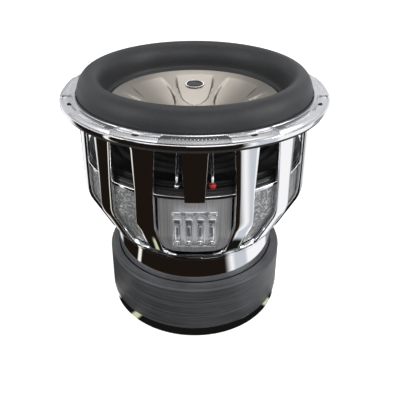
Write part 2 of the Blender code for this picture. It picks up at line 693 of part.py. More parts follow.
# ---------------------------------------------------------------- flange trim and gasket
def make_trim_ring(slots):
    """Satin ring on the flange, with raised panels and lower panels that hold the bolt slots."""
    band_end = TRIM_BORE + TRIM_BAND
    profile = [
        (TRIM_RADIUS, TRIM_BOTTOM + TRIM_OUTER_THICKNESS),
        (TRIM_RADIUS, TRIM_BOTTOM),
        (TRIM_BORE, TRIM_BOTTOM),
        (TRIM_BORE, TRIM_TOP),
        (band_end, TRIM_TOP),
    ]
    trim = turn("trim_ring", profile, SILVER)
    floor = TRIM_BOTTOM + TRIM_RECESS_FLOOR
    above = TRIM_TOP + TRIM_THICKNESS
    outline = [
        (TRIM_RADIUS - TRIM_RIM, above),
        (TRIM_RADIUS - TRIM_RIM, floor),
        (band_end + TRIM_RECESS_STEP, floor),
        (band_end + TRIM_RECESS_STEP, above),
    ]
    recesses = []
    for index in range(TRIM_PANEL_COUNT):
        centre = (index + 0.5) * 360.0 / TRIM_PANEL_COUNT
        start = centre - TRIM_RECESS_HALF
        recesses.append(
            sweep_sector("recess", outline, start, centre + TRIM_RECESS_HALF, 3, BLACK)
        )
    combine(trim, join_cutters("trim_recesses", recesses))
    combine(trim, slots)


def make_gasket(slots):
    top = FLANGE_BOTTOM - GAP
    gasket = ring(
        "rear_gasket", GASKET_BORE, GASKET_RADIUS, top - GASKET_THICKNESS, top, FOAM, RING_STEPS
    )
    combine(gasket, slots)


# ---------------------------------------------------------------- suspension
def make_surround():
    """Half roll with a foot on the flange and a lip on the cone."""
    half_width = 0.5 * (ROLL_OUTER - ROLL_INNER)
    middle = 0.5 * (ROLL_OUTER + ROLL_INNER)
    rise = ROLL_CREST - 0.5 * SURROUND_WALL - SURROUND_FOOT_LEVEL
    profile = [(SURROUND_FOOT_OUTER, SURROUND_FOOT_LEVEL)]
    arc_steps = 8
    for step in range(arc_steps + 1):
        angle = math.pi * step / arc_steps
        radius = middle + half_width * math.cos(angle)
        profile.append((radius, SURROUND_FOOT_LEVEL + rise * math.sin(angle)))
    profile.append((ROLL_INNER - SURROUND_LIP_STEP, SURROUND_LIP_LEVEL))
    profile.append((SURROUND_LIP_BORE, SURROUND_LIP_LEVEL))
    surround = turn("surround", profile, FOAM, RING_STEPS, closed=False)
    thicken(surround, SURROUND_WALL, 0.0)


def make_spider(name, level, foot_outer):
    """Corrugated cloth disc that centres the former."""
    inner = FORMER_OUTER + 3.0 * GAP
    profile = [(inner, level), (0.5 * (inner + SPIDER_WAVE_INNER), level)]
    points = 2 * SPIDER_WAVES
    for step in range(points + 1):
        radius = SPIDER_WAVE_INNER + (SPIDER_WAVE_OUTER - SPIDER_WAVE_INNER) * step / points
        lift = SPIDER_WAVE_HEIGHT if step % 2 else -SPIDER_WAVE_HEIGHT
        profile.append((radius, level + lift))
    profile += [(SHELF_BORE, level), (foot_outer, level)]
    thicken(turn(name, profile, CLOTH, CORE_STEPS, closed=False), SPIDER_WALL, 0.0)


def make_suspension():
    make_surround()
    make_spider("spider_lower", LOWER_SPIDER_LEVEL, SPIDER_RING_OUTER)
    make_spider("spider_upper", UPPER_SPIDER_LEVEL, CLAMP_RING_OUTER)
    bore = SHELF_BORE + RING_BORE_STEP
    ring("spider_ring", bore, SPIDER_RING_OUTER, SPIDER_RING_BOTTOM, SPIDER_RING_TOP, BLACK, MOTOR_STEPS)
    clamp_top = CLAMP_RING_BOTTOM + CLAMP_RING_HEIGHT
    ring("spider_clamp_ring", bore, CLAMP_RING_OUTER, CLAMP_RING_BOTTOM, clamp_top, BLACK, MOTOR_STEPS)


# ---------------------------------------------------------------- cone and voice coil
def dish_height(radius):
    """Height of the dish's underside, a shallow cone that levels out near the middle."""
    if radius >= DISH_CENTRE_RADIUS:
        return DISH_EDGE_TOP - (DISH_RADIUS - radius) * DISH_FALL
    edge = DISH_EDGE_TOP - (DISH_RADIUS - DISH_CENTRE_RADIUS) * DISH_FALL
    share = radius / DISH_CENTRE_RADIUS
    return edge - 0.5 * DISH_CENTRE_RADIUS * DISH_FALL * (1.0 - share * share)


def pocket_depth(radius, azimuth):
    """Depth of the U-shaped pockets pressed into the dish."""
    pitch = 360.0 / POCKET_COUNT
    offset = (azimuth + 0.5 * pitch) % pitch - 0.5 * pitch
    along = (radius - POCKET_TIP) / (POCKET_END - POCKET_TIP)
    if along <= 0.0 or along >= 1.0:
        return 0.0
    half_width = POCKET_HALF_WIDTH * math.sqrt(1.0 - (1.0 - along) ** 2)
    across = abs(radius * math.sin(math.radians(offset))) / half_width
    if across >= 1.0:
        return 0.0
    return POCKET_DEPTH * (1.0 - along) * min(1.0, 3.0 * (1.0 - across))


def make_front_dish():
    step = (POCKET_END - POCKET_TIP) / POCKET_ROWS
    radii = [DISH_RADIUS] + [POCKET_END - step * row for row in range(POCKET_ROWS)]
    radii += [DISH_CENTRE_RADIUS, DISH_POLE_RADIUS]
    rows = []
    for radius in radii:
        row = []
        for column in range(DISH_COLUMNS):
            azimuth = column * 360.0 / DISH_COLUMNS
            depth = pocket_depth(radius, azimuth)
            row.append(on_circle(radius, azimuth, dish_height(radius) - depth))
        rows.append(row)
    dish = polar_sheet("front_dish", rows, CHAMPAGNE)
    build = bmesh.new()
    build.from_mesh(dish.data)
    rim = [edge for edge in build.edges if edge.is_boundary]
    inner = [edge for edge in rim if edge.verts[0].co.xy.length < 0.5 * DISH_CENTRE_RADIUS]
    bmesh.ops.holes_fill(build, edges=inner, sides=0)
    build.to_mesh(dish.data)
    build.free()
    thicken(dish, DISH_WALL)


def cone_underside(radius):
    """Height of the cone's outer face between its neck and its lip."""
    first = CONE_NECK + CONE_WALL
    last = CONE_LIP_INNER + CONE_CORNER
    low = CONE_NECK_HEIGHT - CONE_WALL
    return low + (CONE_LIP_BOTTOM - low) * (radius - first) / (last - first)


def make_cone_body():
    """Pulp cone behind the dish, glued to the former at its neck."""
    profile = [
        (CONE_LIP_OUTER, CONE_LIP_TOP),
        (CONE_LIP_OUTER, CONE_LIP_BOTTOM),
        (CONE_LIP_INNER + CONE_CORNER, CONE_LIP_BOTTOM),
        (CONE_NECK + CONE_WALL, CONE_NECK_HEIGHT - CONE_WALL),
        (CONE_NECK, CONE_NECK_HEIGHT - CONE_WALL),
        (CONE_NECK, CONE_NECK_HEIGHT),
        (CONE_LIP_INNER, CONE_LIP_TOP),
    ]
    turn("cone_body", profile, PAPER, MOTOR_STEPS)


def make_voice_coil():
    former_bottom = COIL_BOTTOM - FORMER_TAIL
    former_top = CONE_NECK_HEIGHT + FORMER_RISE
    ring("former", FORMER_INNER, FORMER_OUTER, former_bottom, former_top, SILVER, CORE_STEPS)
    inner = FORMER_OUTER + GAP
    ring("coil_inner", inner, inner + COIL_WALL, COIL_BOTTOM, COIL_TOP, COPPER, CORE_STEPS)
    inner += COIL_WALL + GAP
    ring("coil_outer", inner, inner + COIL_WALL, COIL_BOTTOM, COIL_TOP, COPPER, CORE_STEPS)
    low = LOWER_SPIDER_LEVEL + 0.5 * SPIDER_WALL + GAP
    high = UPPER_SPIDER_LEVEL - 0.5 * SPIDER_WALL - GAP
    inner = FORMER_OUTER + GAP
    ring("former_collar", inner, inner + COLLAR_WALL, low, high, BLACK, CORE_STEPS)


def make_badge():
    """Blank oval badge on the dish, with a bright rim round it."""
    fall = DISH_FALL + POCKET_DEPTH / (POCKET_END - POCKET_TIP)
    rise = fall * (math.hypot(BADGE_PLACE, 0.5 * BADGE_LENGTH) - BADGE_PLACE)
    skin = DISH_WALL * math.hypot(1.0, fall)
    floor = dish_height(BADGE_PLACE) - pocket_depth(BADGE_PLACE, 180.0) + skin
    centre = on_circle(BADGE_PLACE, 180.0, floor + rise + BADGE_CLEARANCE)
    tilt = Matrix.Rotation(math.atan(fall), 4, "X")
    spot = Matrix.Translation(centre) @ tilt

    def oval(name, length, width, low, high, material):
        piece = rod(name, 0.5, (0.0, 0.0, low), (0.0, 0.0, high), material, 24)
        piece.data.transform(spot @ Matrix.Diagonal((length, width, 1.0, 1.0)))
        return piece

    hole_length = BADGE_LENGTH - 2.0 * BADGE_RIM_WIDTH
    hole_width = BADGE_WIDTH - 2.0 * BADGE_RIM_WIDTH
    rim = oval("badge_rim", BADGE_LENGTH, BADGE_WIDTH, 0.0, BADGE_THICKNESS, CHROME)
    hole = oval("badge_hole", hole_length, hole_width, -BADGE_THICKNESS, 2.0 * BADGE_THICKNESS, BLACK)
    combine(rim, hide_as_cutter(hole))
    face_length = hole_length - 2.0 * GAP
    face_width = hole_width - 2.0 * GAP
    face_top = BADGE_THICKNESS - BADGE_FACE_INSET
    oval("badge", face_length, face_width, BADGE_FACE_INSET, face_top, BLACK)


# ---------------------------------------------------------------- terminals and leads
def terminal_places():
    """X of each terminal, from left to right."""
    first = -0.5 * (TERMINAL_COUNT - 1) * TERMINAL_PITCH
    return [first + index * TERMINAL_PITCH for index in range(TERMINAL_COUNT)]


def make_terminal_panel():
    """Curved plate between the two front legs, with its lower corners cut off."""
    top = SHELF_BOTTOM - GAP
    outer, inner = PANEL_RADIUS, PANEL_RADIUS - PANEL_WALL
    inset = PANEL_SKIRT * LEG_SINE / LEG_COSINE
    profile = [
        (outer, top),
        (outer, PANEL_BEND),
        (outer - inset, PANEL_BOTTOM),
        (inner - inset, PANEL_BOTTOM),
        (inner, PANEL_BEND),
        (inner, top),
    ]
    panel = sweep_sector("terminal_panel", profile, -PANEL_HALF, PANEL_HALF, PANEL_STEPS, BRUSHED)
    half = (outer - inset) * math.sin(math.radians(PANEL_HALF))
    tools = []
    for side in (-1.0, 1.0):
        size = PANEL_CORNER * math.sqrt(2.0)
        low = (-0.5 * size, -PANEL_RADIUS - PANEL_CORNER, -0.5 * size)
        high = (0.5 * size, -PANEL_RADIUS + 3.0 * PANEL_CORNER, 0.5 * size)
        tool = block("corner", low, high, BLACK)
        spin = Matrix.Rotation(math.radians(45.0), 4, "Y")
        corner = Matrix.Translation((side * half, 0.0, PANEL_BOTTOM))
        tool.data.transform(corner @ spin)
        tools.append(tool)
    combine(panel, join_cutters("panel_corners", tools))


def make_terminal_block():
    """Clear block with an open channel for each terminal."""
    places = terminal_places()
    half = places[-1] + 0.5 * CHANNEL_WIDTH + BLOCK_SIDE
    low = (-half, -BLOCK_FRONT, BLOCK_BOTTOM)
    body = block("terminal_block", low, (half, -BLOCK_BACK, BLOCK_TOP), ACRYLIC)
    tools = []
    floor = BLOCK_BOTTOM + CHANNEL_FLOOR
    for x in places:
        low = (x - 0.5 * CHANNEL_WIDTH, -BLOCK_FRONT - BLOCK_DEPTH, floor)
        high = (x + 0.5 * CHANNEL_WIDTH, -BLOCK_BACK - CHANNEL_BACK, BLOCK_TOP + BLOCK_DEPTH)
        tools.append(block("channel", low, high, BLACK))
    combine(body, join_cutters("channels", tools))


def make_terminal(index, x):
    """Slotted post with a sprung push button above it and a set screw below it."""
    number = "_%d" % (index + 1)
    y = -POST_CENTRE
    post = rod("terminal_post" + number, POST_RADIUS, (x, y, POST_BOTTOM), (x, y, POST_TOP), CHROME)
    reach = 2.0 * POST_RADIUS
    hole = rod(
        "wire_hole" + number,
        WIRE_HOLE_RADIUS,
        (x, y - reach, WIRE_HOLE_HEIGHT),
        (x, y + reach, WIRE_HOLE_HEIGHT),
        BLACK,
        8,
    )
    combine(post, hide_as_cutter(hole))
    bore = rod(
        "stem_bore" + number,
        STEM_RADIUS + STEM_CLEARANCE,
        (x, y, POST_TOP - STEM_BORE_DEPTH),
        (x, y, POST_TOP + STEM_BORE_DEPTH),
        BLACK,
        8,
    )
    combine(post, hide_as_cutter(bore))

    half = 0.5 * BUTTON_WIDTH
    back = y + POST_RADIUS
    low = (x - half, back - BUTTON_DEPTH, BUTTON_BOTTOM)
    high = (x + half, back, BUTTON_BOTTOM + BUTTON_HEIGHT)
    button = block("terminal_button" + number, low, high, CHROME)
    stem = rod(
        "stem" + number,
        STEM_RADIUS,
        (x, y, BUTTON_BOTTOM - STEM_LENGTH),
        (x, y, BUTTON_BOTTOM + 0.5 * BUTTON_HEIGHT),
        CHROME,
        8,
    )
    combine(button, hide_as_cutter(stem), "UNION")

    make_button_spring("button_spring" + number, x, y)
    front = y - POST_RADIUS
    rod(
        "terminal_screw" + number,
        SCREW_RADIUS,
        (x, front, SCREW_HEIGHT),
        (x, front + SCREW_LENGTH, SCREW_HEIGHT),
        CHROME,
    )


def tube(name, points, radius, material, resolution):
    """A round wire through a list of points, with closed ends."""
    curve = bpy.data.curves.new(name, "CURVE")
    curve.dimensions = "3D"
    curve.bevel_depth = radius
    curve.bevel_resolution = resolution
    curve.use_fill_caps = True
    spline = curve.splines.new("POLY")
    spline.points.add(len(points) - 1)
    for target, point in zip(spline.points, points):
        target.co = (*point, 1.0)
    piece = bpy.data.objects.new(name, curve)
    PARTS.objects.link(piece)
    curve.materials.append(material)
    return piece


def make_button_spring(name, x, y):
    """Coil spring between the post's top and the button's underside."""
    low = POST_TOP + GAP + 0.5 * SPRING_WIRE
    high = BUTTON_BOTTOM - GAP - 0.5 * SPRING_WIRE
    coil_radius = STEM_RADIUS + GAP + SPRING_WIRE
    steps = int(SPRING_TURNS * SPRING_STEPS)
    points = []
    for step in range(steps + 1):
        angle = 2.0 * math.pi * SPRING_TURNS * step / steps
        height = low + (high - low) * step / steps
        points.append((x + coil_radius * math.cos(angle), y + coil_radius * math.sin(angle), height))
    tube(name, points, 0.5 * SPRING_WIRE, SILVER, 0)


def make_lead(index, x):
    """Braided lead from a bead on the spider ring up to the back of the cone."""
    number = "_%d" % (index + 1)
    y = -math.sqrt(BEAD_CIRCLE * BEAD_CIRCLE - x * x)
    floor = SPIDER_RING_TOP + GAP
    material = RED if index == TERMINAL_COUNT - 1 else SILVER
    bead_top = floor + BEAD_HEIGHT
    bead = rod("lead_bead" + number, BEAD_RADIUS, (x, y, floor), (x, y, bead_top), material)
    bead.data.shade_smooth()
    start = Vector((x, y, bead_top + GAP))
    rise = start + Vector((0.0, 0.0, LEAD_RISE))
    over = Vector((x, y + LEAD_REACH, start.z + LEAD_RISE))
    end_height = cone_underside(math.hypot(x, LEAD_END_RADIUS)) - 2.0 * LEAD_RADIUS
    end = Vector((x, -LEAD_END_RADIUS, end_height))
    points = []
    for step in range(LEAD_POINTS + 1):
        t = step / LEAD_POINTS
        s = 1.0 - t
        point = s**3 * start + 3.0 * s * s * t * rise + 3.0 * s * t * t * over + t**3 * end
        points.append(point)
    tube("tinsel_lead" + number, points, LEAD_RADIUS, TINSEL, 1)


def make_terminals():
    make_terminal_panel()
    make_terminal_block()
    for index, x in enumerate(terminal_places()):
        make_terminal(index, x)
        make_lead(index, x)


# ---------------------------------------------------------------- assembly
make_yoke()
make_magnets()
make_magnet_boot()
make_top_plate()
make_shorting_ring()
make_vent_screen()
BOLT_SLOTS = make_bolt_slots()
combine(make_basket(), BOLT_SLOTS)
make_motor_screws()
make_vent_mesh()
make_trim_ring(BOLT_SLOTS)
make_gasket(BOLT_SLOTS)
make_suspension()
make_front_dish()
make_cone_body()
make_voice_coil()
make_badge()
make_terminals()
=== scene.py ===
# %% [markdown]
# # A car subwoofer with a chrome basket
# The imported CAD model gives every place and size, and this file gives the finished shapes and
# finishes. The speaker stands on its magnet, its axis is Z, and its terminals face -Y.

# %% load the frame
import math
from contextlib import contextmanager

import bmesh
import bpy
from mathutils import Matrix, Vector


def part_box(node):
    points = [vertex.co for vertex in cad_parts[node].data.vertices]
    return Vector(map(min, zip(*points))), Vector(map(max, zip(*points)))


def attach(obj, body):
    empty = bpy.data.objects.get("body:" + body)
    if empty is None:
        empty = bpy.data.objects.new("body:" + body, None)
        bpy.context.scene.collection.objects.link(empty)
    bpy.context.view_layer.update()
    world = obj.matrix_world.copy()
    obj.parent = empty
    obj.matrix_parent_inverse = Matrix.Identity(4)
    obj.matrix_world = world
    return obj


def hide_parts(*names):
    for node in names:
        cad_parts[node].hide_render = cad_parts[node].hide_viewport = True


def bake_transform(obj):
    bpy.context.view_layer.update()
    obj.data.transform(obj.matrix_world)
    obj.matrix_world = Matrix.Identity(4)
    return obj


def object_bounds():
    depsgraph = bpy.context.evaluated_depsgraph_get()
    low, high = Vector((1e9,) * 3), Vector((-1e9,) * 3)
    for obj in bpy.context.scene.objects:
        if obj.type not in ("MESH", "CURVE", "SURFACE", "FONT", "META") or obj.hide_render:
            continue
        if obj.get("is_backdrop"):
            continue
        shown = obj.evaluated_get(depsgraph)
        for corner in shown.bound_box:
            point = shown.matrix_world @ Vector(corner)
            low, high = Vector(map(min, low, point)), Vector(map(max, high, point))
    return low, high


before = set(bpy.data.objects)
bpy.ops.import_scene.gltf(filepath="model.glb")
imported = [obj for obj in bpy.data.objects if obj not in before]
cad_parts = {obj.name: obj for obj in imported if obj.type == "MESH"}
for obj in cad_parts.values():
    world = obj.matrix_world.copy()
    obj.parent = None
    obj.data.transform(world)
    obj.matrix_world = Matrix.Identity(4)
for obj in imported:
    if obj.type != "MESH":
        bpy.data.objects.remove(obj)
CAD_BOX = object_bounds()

print("loaded", len(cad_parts), "CAD nodes")

# %% [markdown]
# A speaker is nearly all round, so three small helpers do most of the work: one turns a profile
# round the axis, one rounds a profile's corners, because a real edge always catches a thin line
# of light, and one hands a finished piece to the body that it moves with.

# %% places and meshes
GAP = 0.0003
MERGE = 2e-6
CREASE = 35.0


def at(radius, azimuth, height):
    """A point by its azimuth in degrees from -Y, growing towards +X."""
    angle = math.radians(azimuth)
    return Vector((radius * math.sin(angle), -radius * math.cos(angle), height))


def low(node):
    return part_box(node)[0].z


def high(node):
    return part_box(node)[1].z


def reach(node):
    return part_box(node)[1].x


@contextmanager
def editing(mesh):
    """Open a mesh in bmesh, and write it back when the block ends."""
    build = bmesh.new()
    build.from_mesh(mesh)
    yield build
    build.to_mesh(mesh)
    build.free()


def shade(mesh, crease=CREASE):
    """Shade a mesh smooth, apart from edges sharper than an angle in degrees."""
    mesh.shade_smooth()
    mesh.set_sharp_from_angle(angle=math.radians(crease))


def tidy_mesh(mesh, crease=CREASE):
    with editing(mesh) as build:
        bmesh.ops.remove_doubles(build, verts=build.verts, dist=MERGE)
        bmesh.ops.recalc_face_normals(build, faces=build.faces)
    shade(mesh, crease)


def new_object(name, data):
    made = bpy.data.objects.new(name, data)
    bpy.context.scene.collection.objects.link(made)
    return made


def add_piece(name, points, faces, material):
    mesh = bpy.data.meshes.new(name)
    mesh.from_pydata([tuple(point) for point in points], [], faces)
    tidy_mesh(mesh)
    mesh.materials.append(material)
    return new_object(name, mesh)


def grid_faces(rows, columns, wrap_rows=False, wrap_columns=False):
    faces = []
    for i in range(rows if wrap_rows else rows - 1):
        for j in range(columns if wrap_columns else columns - 1):
            k, m = (i + 1) % rows, (j + 1) % columns
            faces.append((i * columns + j, k * columns + j, k * columns + m, i * columns + m))
    return faces


def tube_faces(rows, columns):
    """Faces of a grid that is wrapped round, with its first and last row closed."""
    last = columns * (rows - 1)
    ends = [tuple(range(columns)), tuple(range(last, last + columns))]
    return grid_faces(rows, columns, wrap_columns=True) + ends


def rounded(corners, steps=4):
    """Round a closed profile: each corner is (radius, height, size of its rounding)."""
    most = 0.48
    points = []
    for index, (radius, height, size) in enumerate(corners):
        here = Vector((radius, height))
        before = Vector(corners[index - 1][:2]) - here
        after = Vector(corners[(index + 1) % len(corners)][:2]) - here
        first = here + before.normalized() * min(size, most * before.length)
        last = here + after.normalized() * min(size, most * after.length)
        for step in range(steps + 1 if size else 1):
            t = step / steps if size else 0.5
            point = (1 - t) ** 2 * first + 2 * t * (1 - t) * here + t * t * last
            points.append((point.x, point.y))
    return points


def lathe(name, profile, material, steps, closed=True, centre=(0.0, 0.0)):
    """Turn a profile of (radius, height) round an upright axis."""
    points = []
    for radius, height in profile:
        for step in range(steps):
            spot = at(radius, 360.0 * step / steps, height)
            points.append((spot.x + centre[0], spot.y + centre[1], spot.z))
    return add_piece(name, points, grid_faces(len(profile), steps, closed, True), material)


def ring(name, inner, outer, bottom, top, material, edge=0.0006, steps=128):
    corners = [(outer, top, edge), (outer, bottom, edge), (inner, bottom, edge), (inner, top, edge)]
    return lathe(name, rounded(corners, 3), material, steps)


# %% modifiers, copies and handing over
def settle(piece, crease):
    """Turn a piece's modifiers into its plain mesh."""
    bpy.context.view_layer.update()
    seen = piece.evaluated_get(bpy.context.evaluated_depsgraph_get())
    mesh = bpy.data.meshes.new_from_object(seen)
    mesh.name = piece.name
    piece.modifiers.clear()
    piece.data = mesh
    tidy_mesh(mesh, crease)
    return piece


def discard(*pieces):
    for piece in pieces:
        bpy.data.objects.remove(piece, do_unlink=True)


def cut(piece, tool, crease=CREASE):
    """Cut a tool's shape out of a piece; the tool goes."""
    step = piece.modifiers.new("cut", "BOOLEAN")
    step.operation = "DIFFERENCE"
    step.solver = "EXACT"
    step.object = tool
    settle(piece, crease)
    discard(tool)
    return piece


def thicken(piece, wall):
    """Give a sheet its wall, inwards from its outer side."""
    solid = piece.modifiers.new("wall", "SOLIDIFY")
    solid.thickness = wall
    solid.offset = -1.0
    solid.use_even_offset = True
    return piece


def soften(piece, width, segments=2, angle=50.0, clamp=False):
    """Round the edges that are sharper than an angle in degrees."""
    edges = piece.modifiers.new("edges", "BEVEL")
    edges.width = width
    edges.segments = segments
    edges.limit_method = "ANGLE"
    edges.angle_limit = math.radians(angle)
    edges.use_clamp_overlap = clamp
    return settle(piece, angle)


def join(name, pieces):
    """One piece from several that are finished alike."""
    build = bmesh.new()
    for piece in pieces:
        build.from_mesh(piece.data)
    mesh = bpy.data.meshes.new(name)
    build.to_mesh(mesh)
    build.free()
    mesh.materials.append(pieces[0].data.materials[0])
    shade(mesh)
    discard(*pieces)
    return new_object(name, mesh)


def hand_over(piece, body, slot, *nodes):
    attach(piece, body)
    if nodes:
        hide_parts(*nodes)
    print("%-20s %6d faces, rides on %s" % (piece.name, len(piece.data.polygons), body))


# %% [markdown]
# Spokes, panels, ribs and screws repeat round the axis. Geometry Nodes place the copies: a point
# for each copy, an instance of the piece on each point, turned by its index. The result is then
# turned into a plain mesh, because instances don't survive an export.

# %% a ring of copies, in Geometry Nodes
def build_ring_tree():
    tree = bpy.data.node_groups.new("ring_of_copies", "GeometryNodeTree")
    face = tree.interface
    face.new_socket("Geometry", in_out="INPUT", socket_type="NodeSocketGeometry")
    for label, kind in (
        ("Piece", "NodeSocketObject"),
        ("Count", "NodeSocketInt"),
        ("First angle", "NodeSocketFloat"),
        ("Step angle", "NodeSocketFloat"),
        ("Material", "NodeSocketMaterial"),
    ):
        face.new_socket(label, in_out="INPUT", socket_type=kind)
    face.new_socket("Geometry", in_out="OUTPUT", socket_type="NodeSocketGeometry")
    made = {}
    for label, kind in (
        ("inputs", "NodeGroupInput"),
        ("points", "GeometryNodePoints"),
        ("piece", "GeometryNodeObjectInfo"),
        ("index", "GeometryNodeInputIndex"),
        ("turned", "ShaderNodeMath"),
        ("angle", "ShaderNodeCombineXYZ"),
        ("copies", "GeometryNodeInstanceOnPoints"),
        ("real", "GeometryNodeRealizeInstances"),
        ("paint", "GeometryNodeSetMaterial"),
        ("result", "NodeGroupOutput"),
    ):
        made[label] = tree.nodes.new(kind)
    made["turned"].operation = "MULTIPLY_ADD"
    for source, output, target, entry in (
        ("inputs", "Piece", "piece", "Object"),
        ("inputs", "Count", "points", "Count"),
        ("index", "Index", "turned", 0),
        ("inputs", "Step angle", "turned", 1),
        ("inputs", "First angle", "turned", 2),
        ("turned", 0, "angle", "Z"),
        ("points", "Points", "copies", "Points"),
        ("piece", "Geometry", "copies", "Instance"),
        ("angle", 0, "copies", "Rotation"),
        ("copies", "Instances", "real", "Geometry"),
        ("real", "Geometry", "paint", "Geometry"),
        ("inputs", "Material", "paint", "Material"),
        ("paint", "Geometry", "result", "Geometry"),
    ):
        tree.links.new(made[source].outputs[output], made[target].inputs[entry])
    return tree


RING_TREE = build_ring_tree()


def copies_round(name, piece, count, first=0.0, step=None, crease=CREASE):
    """Copies of a piece turned about Z, as one plain mesh; the piece itself goes."""
    carrier = new_object(name, bpy.data.meshes.new(name))
    modifier = carrier.modifiers.new("copies", "NODES")
    modifier.node_group = RING_TREE
    values = {
        "Piece": piece,
        "Count": count,
        "First angle": math.radians(first),
        "Step angle": math.radians(360.0 / count if step is None else step),
        "Material": piece.data.materials[0],
    }
    for item in RING_TREE.interface.items_tree:
        if item.in_out == "INPUT" and item.name in values:
            modifier[item.identifier] = values[item.name]
    settle(carrier, crease)
    discard(piece)
    return carrier


# %% [markdown]
# The finishes are shaders written as sums. One small class wraps a socket, so that a + b or
# 1 - a adds the Math node that works it out, and one method makes every other node.

# %% shader sums
class Value:
    """A number that changes over a surface, kept as a node's socket."""

    def __init__(self, paint, socket):
        self.paint = paint
        self.socket = socket

    def math(self, operation, first, second=None):
        settings = {"operation": operation}
        sockets = {0: first} if second is None else {0: first, 1: second}
        return self.paint.node("ShaderNodeMath", settings, sockets)

    def __add__(self, other):
        return self.math("ADD", self, other)

    __radd__ = __add__

    def __sub__(self, other):
        return self.math("SUBTRACT", self, other)

    def __rsub__(self, other):
        return self.math("SUBTRACT", other, self)

    def __mul__(self, other):
        return self.math("MULTIPLY", self, other)

    __rmul__ = __mul__

    def __truediv__(self, other):
        return self.math("DIVIDE", self, other)

    def __pow__(self, other):
        return self.math("POWER", self, other)

    def __mod__(self, other):
        return self.math("FLOORED_MODULO", self, other)

    def floor(self):
        return self.math("FLOOR", self)

    def sine(self):
        return self.math("SINE", self)

    def most(self, other):
        return self.math("MAXIMUM", self, other)

    def between(self, start, end):
        """0 below start, 1 above end and smooth in between."""
        sockets = {"Value": self, "From Min": start, "From Max": end}
        return self.paint.node("ShaderNodeMapRange", {"interpolation_type": "SMOOTHSTEP"}, sockets)


class Paint:
    """A material, with the few calls that its recipe needs."""

    def __init__(self, name, **fixed):
        self.material = bpy.data.materials.new(name)
        self.material.use_nodes = True
        self.tree = self.material.node_tree
        self.shader = self.tree.nodes["Principled BSDF"]
        for label, amount in fixed.items():
            self.set(label.replace("_", " "), amount)

    def set(self, label, amount):
        if isinstance(amount, tuple) and len(amount) == 3:
            amount = (*amount, 1.0)
        self.feed(self.shader.inputs[label], amount)

    def feed(self, socket, amount):
        if isinstance(amount, Value):
            self.tree.links.new(amount.socket, socket)
        else:
            socket.default_value = amount

    def node(self, kind, settings=None, sockets=None, output=0):
        made = self.tree.nodes.new(kind)
        for label, amount in (settings or {}).items():
            setattr(made, label, amount)
        for label, amount in (sockets or {}).items():
            self.feed(made.inputs[label], amount)
        return Value(self, made.outputs[output])

    def place(self, output="Object"):
        return self.node("ShaderNodeTexCoord", output=output)

    def parts(self, vector):
        """X, Y and Z of a vector."""
        split = self.node("ShaderNodeSeparateXYZ", sockets={0: vector}).socket.node
        return [Value(self, socket) for socket in split.outputs]

    def plane(self, u, v):
        """A place in a pattern, from two numbers."""
        return self.node("ShaderNodeCombineXYZ", None, {0: u, 1: v, 2: 0.0})

    def polar(self):
        """Radius, azimuth in radians and height of a point."""
        x, y, z = self.parts(self.place())
        radius = (x * x + y * y) ** 0.5
        azimuth = self.node("ShaderNodeMath", {"operation": "ARCTAN2"}, {0: x, 1: y * -1.0})
        return radius, azimuth, z

    def noise(self, scale, detail, place=None, roughness=0.5):
        sockets = {"Scale": scale, "Detail": detail, "Roughness": roughness}
        sockets["Vector"] = place or self.place()
        return self.node("ShaderNodeTexNoise", None, sockets)

    def mix(self, first, second, share):
        """A colour between two colours."""
        colours = [c if isinstance(c, Value) else (*c, 1.0) for c in (first, second)]
        sockets = {0: share, 6: colours[0], 7: colours[1]}
        return self.node("ShaderNodeMix", {"data_type": "RGBA"}, sockets, output=2)

    def finish(self, colour, roughness, grain=None, depth=0.0):
        """Set colour and roughness, press a grain into the surface and return the material."""
        self.set("Base Color", colour)
        self.set("Roughness", roughness)
        if grain is not None:
            self.set("Normal", self.node("ShaderNodeBump", None, {"Height": grain, "Distance": depth}))
        return self.material


# %% [markdown]
# Chrome has no colour of its own. What makes it look real is what it reflects, so its shader is
# only a hard mirror with faint smears in the polish. The satin metals scatter more, with a fine
# grain that runs the way each piece was brushed or blasted.

# %% metals
def make_chrome():
    paint = Paint("mirror_chrome", Metallic=1.0)
    smear = paint.noise(9.0, 4.0).between(0.48, 0.75)
    spots = paint.noise(160.0, 2.0).between(0.62, 0.8)
    return paint.finish((0.90, 0.90, 0.92), 0.022 + 0.035 * smear + 0.02 * spots)


def make_satin_silver():
    paint = Paint("satin_silver", Metallic=1.0)
    grain = paint.noise(900.0, 3.0)
    colour = paint.mix((0.62, 0.62, 0.635), (0.76, 0.76, 0.775), paint.noise(30.0, 3.0))
    return paint.finish(colour, 0.22 + 0.12 * grain, grain, 0.00004)


def make_champagne():
    """Fine lines that run round the dish, as on a turned sheet."""
    paint = Paint("champagne_dish", Metallic=1.0)
    radius, azimuth, _ = paint.polar()
    lines = paint.noise(1.0, 2.0, place=paint.plane(radius * 2600.0, azimuth * 1.5))
    colour = paint.mix((0.36, 0.33, 0.295), (0.46, 0.425, 0.38), paint.noise(22.0, 3.0))
    return paint.finish(colour, 0.30 + 0.12 * lines, lines, 0.00003)


def make_brushed_panel():
    """Lines that run up and down, as a belt grinder leaves them."""
    paint = Paint("brushed_panel", Metallic=0.60)
    _, azimuth, height = paint.polar()
    lines = paint.noise(1.0, 5.0, place=paint.plane(azimuth * 300.0, height * 4.0), roughness=0.7)
    colour = paint.mix((0.36, 0.36, 0.365), (0.80, 0.80, 0.81), lines.between(0.3, 0.7))
    return paint.finish(colour, 0.34 + 0.20 * lines, lines, 0.00008)


def make_plain_metal(name, dark, light, rough):
    paint = Paint(name, Metallic=1.0)
    cloud = paint.noise(60.0, 3.0)
    grain = paint.noise(1500.0, 2.0)
    return paint.finish(paint.mix(dark, light, cloud), rough + 0.12 * grain, grain, 0.00002)


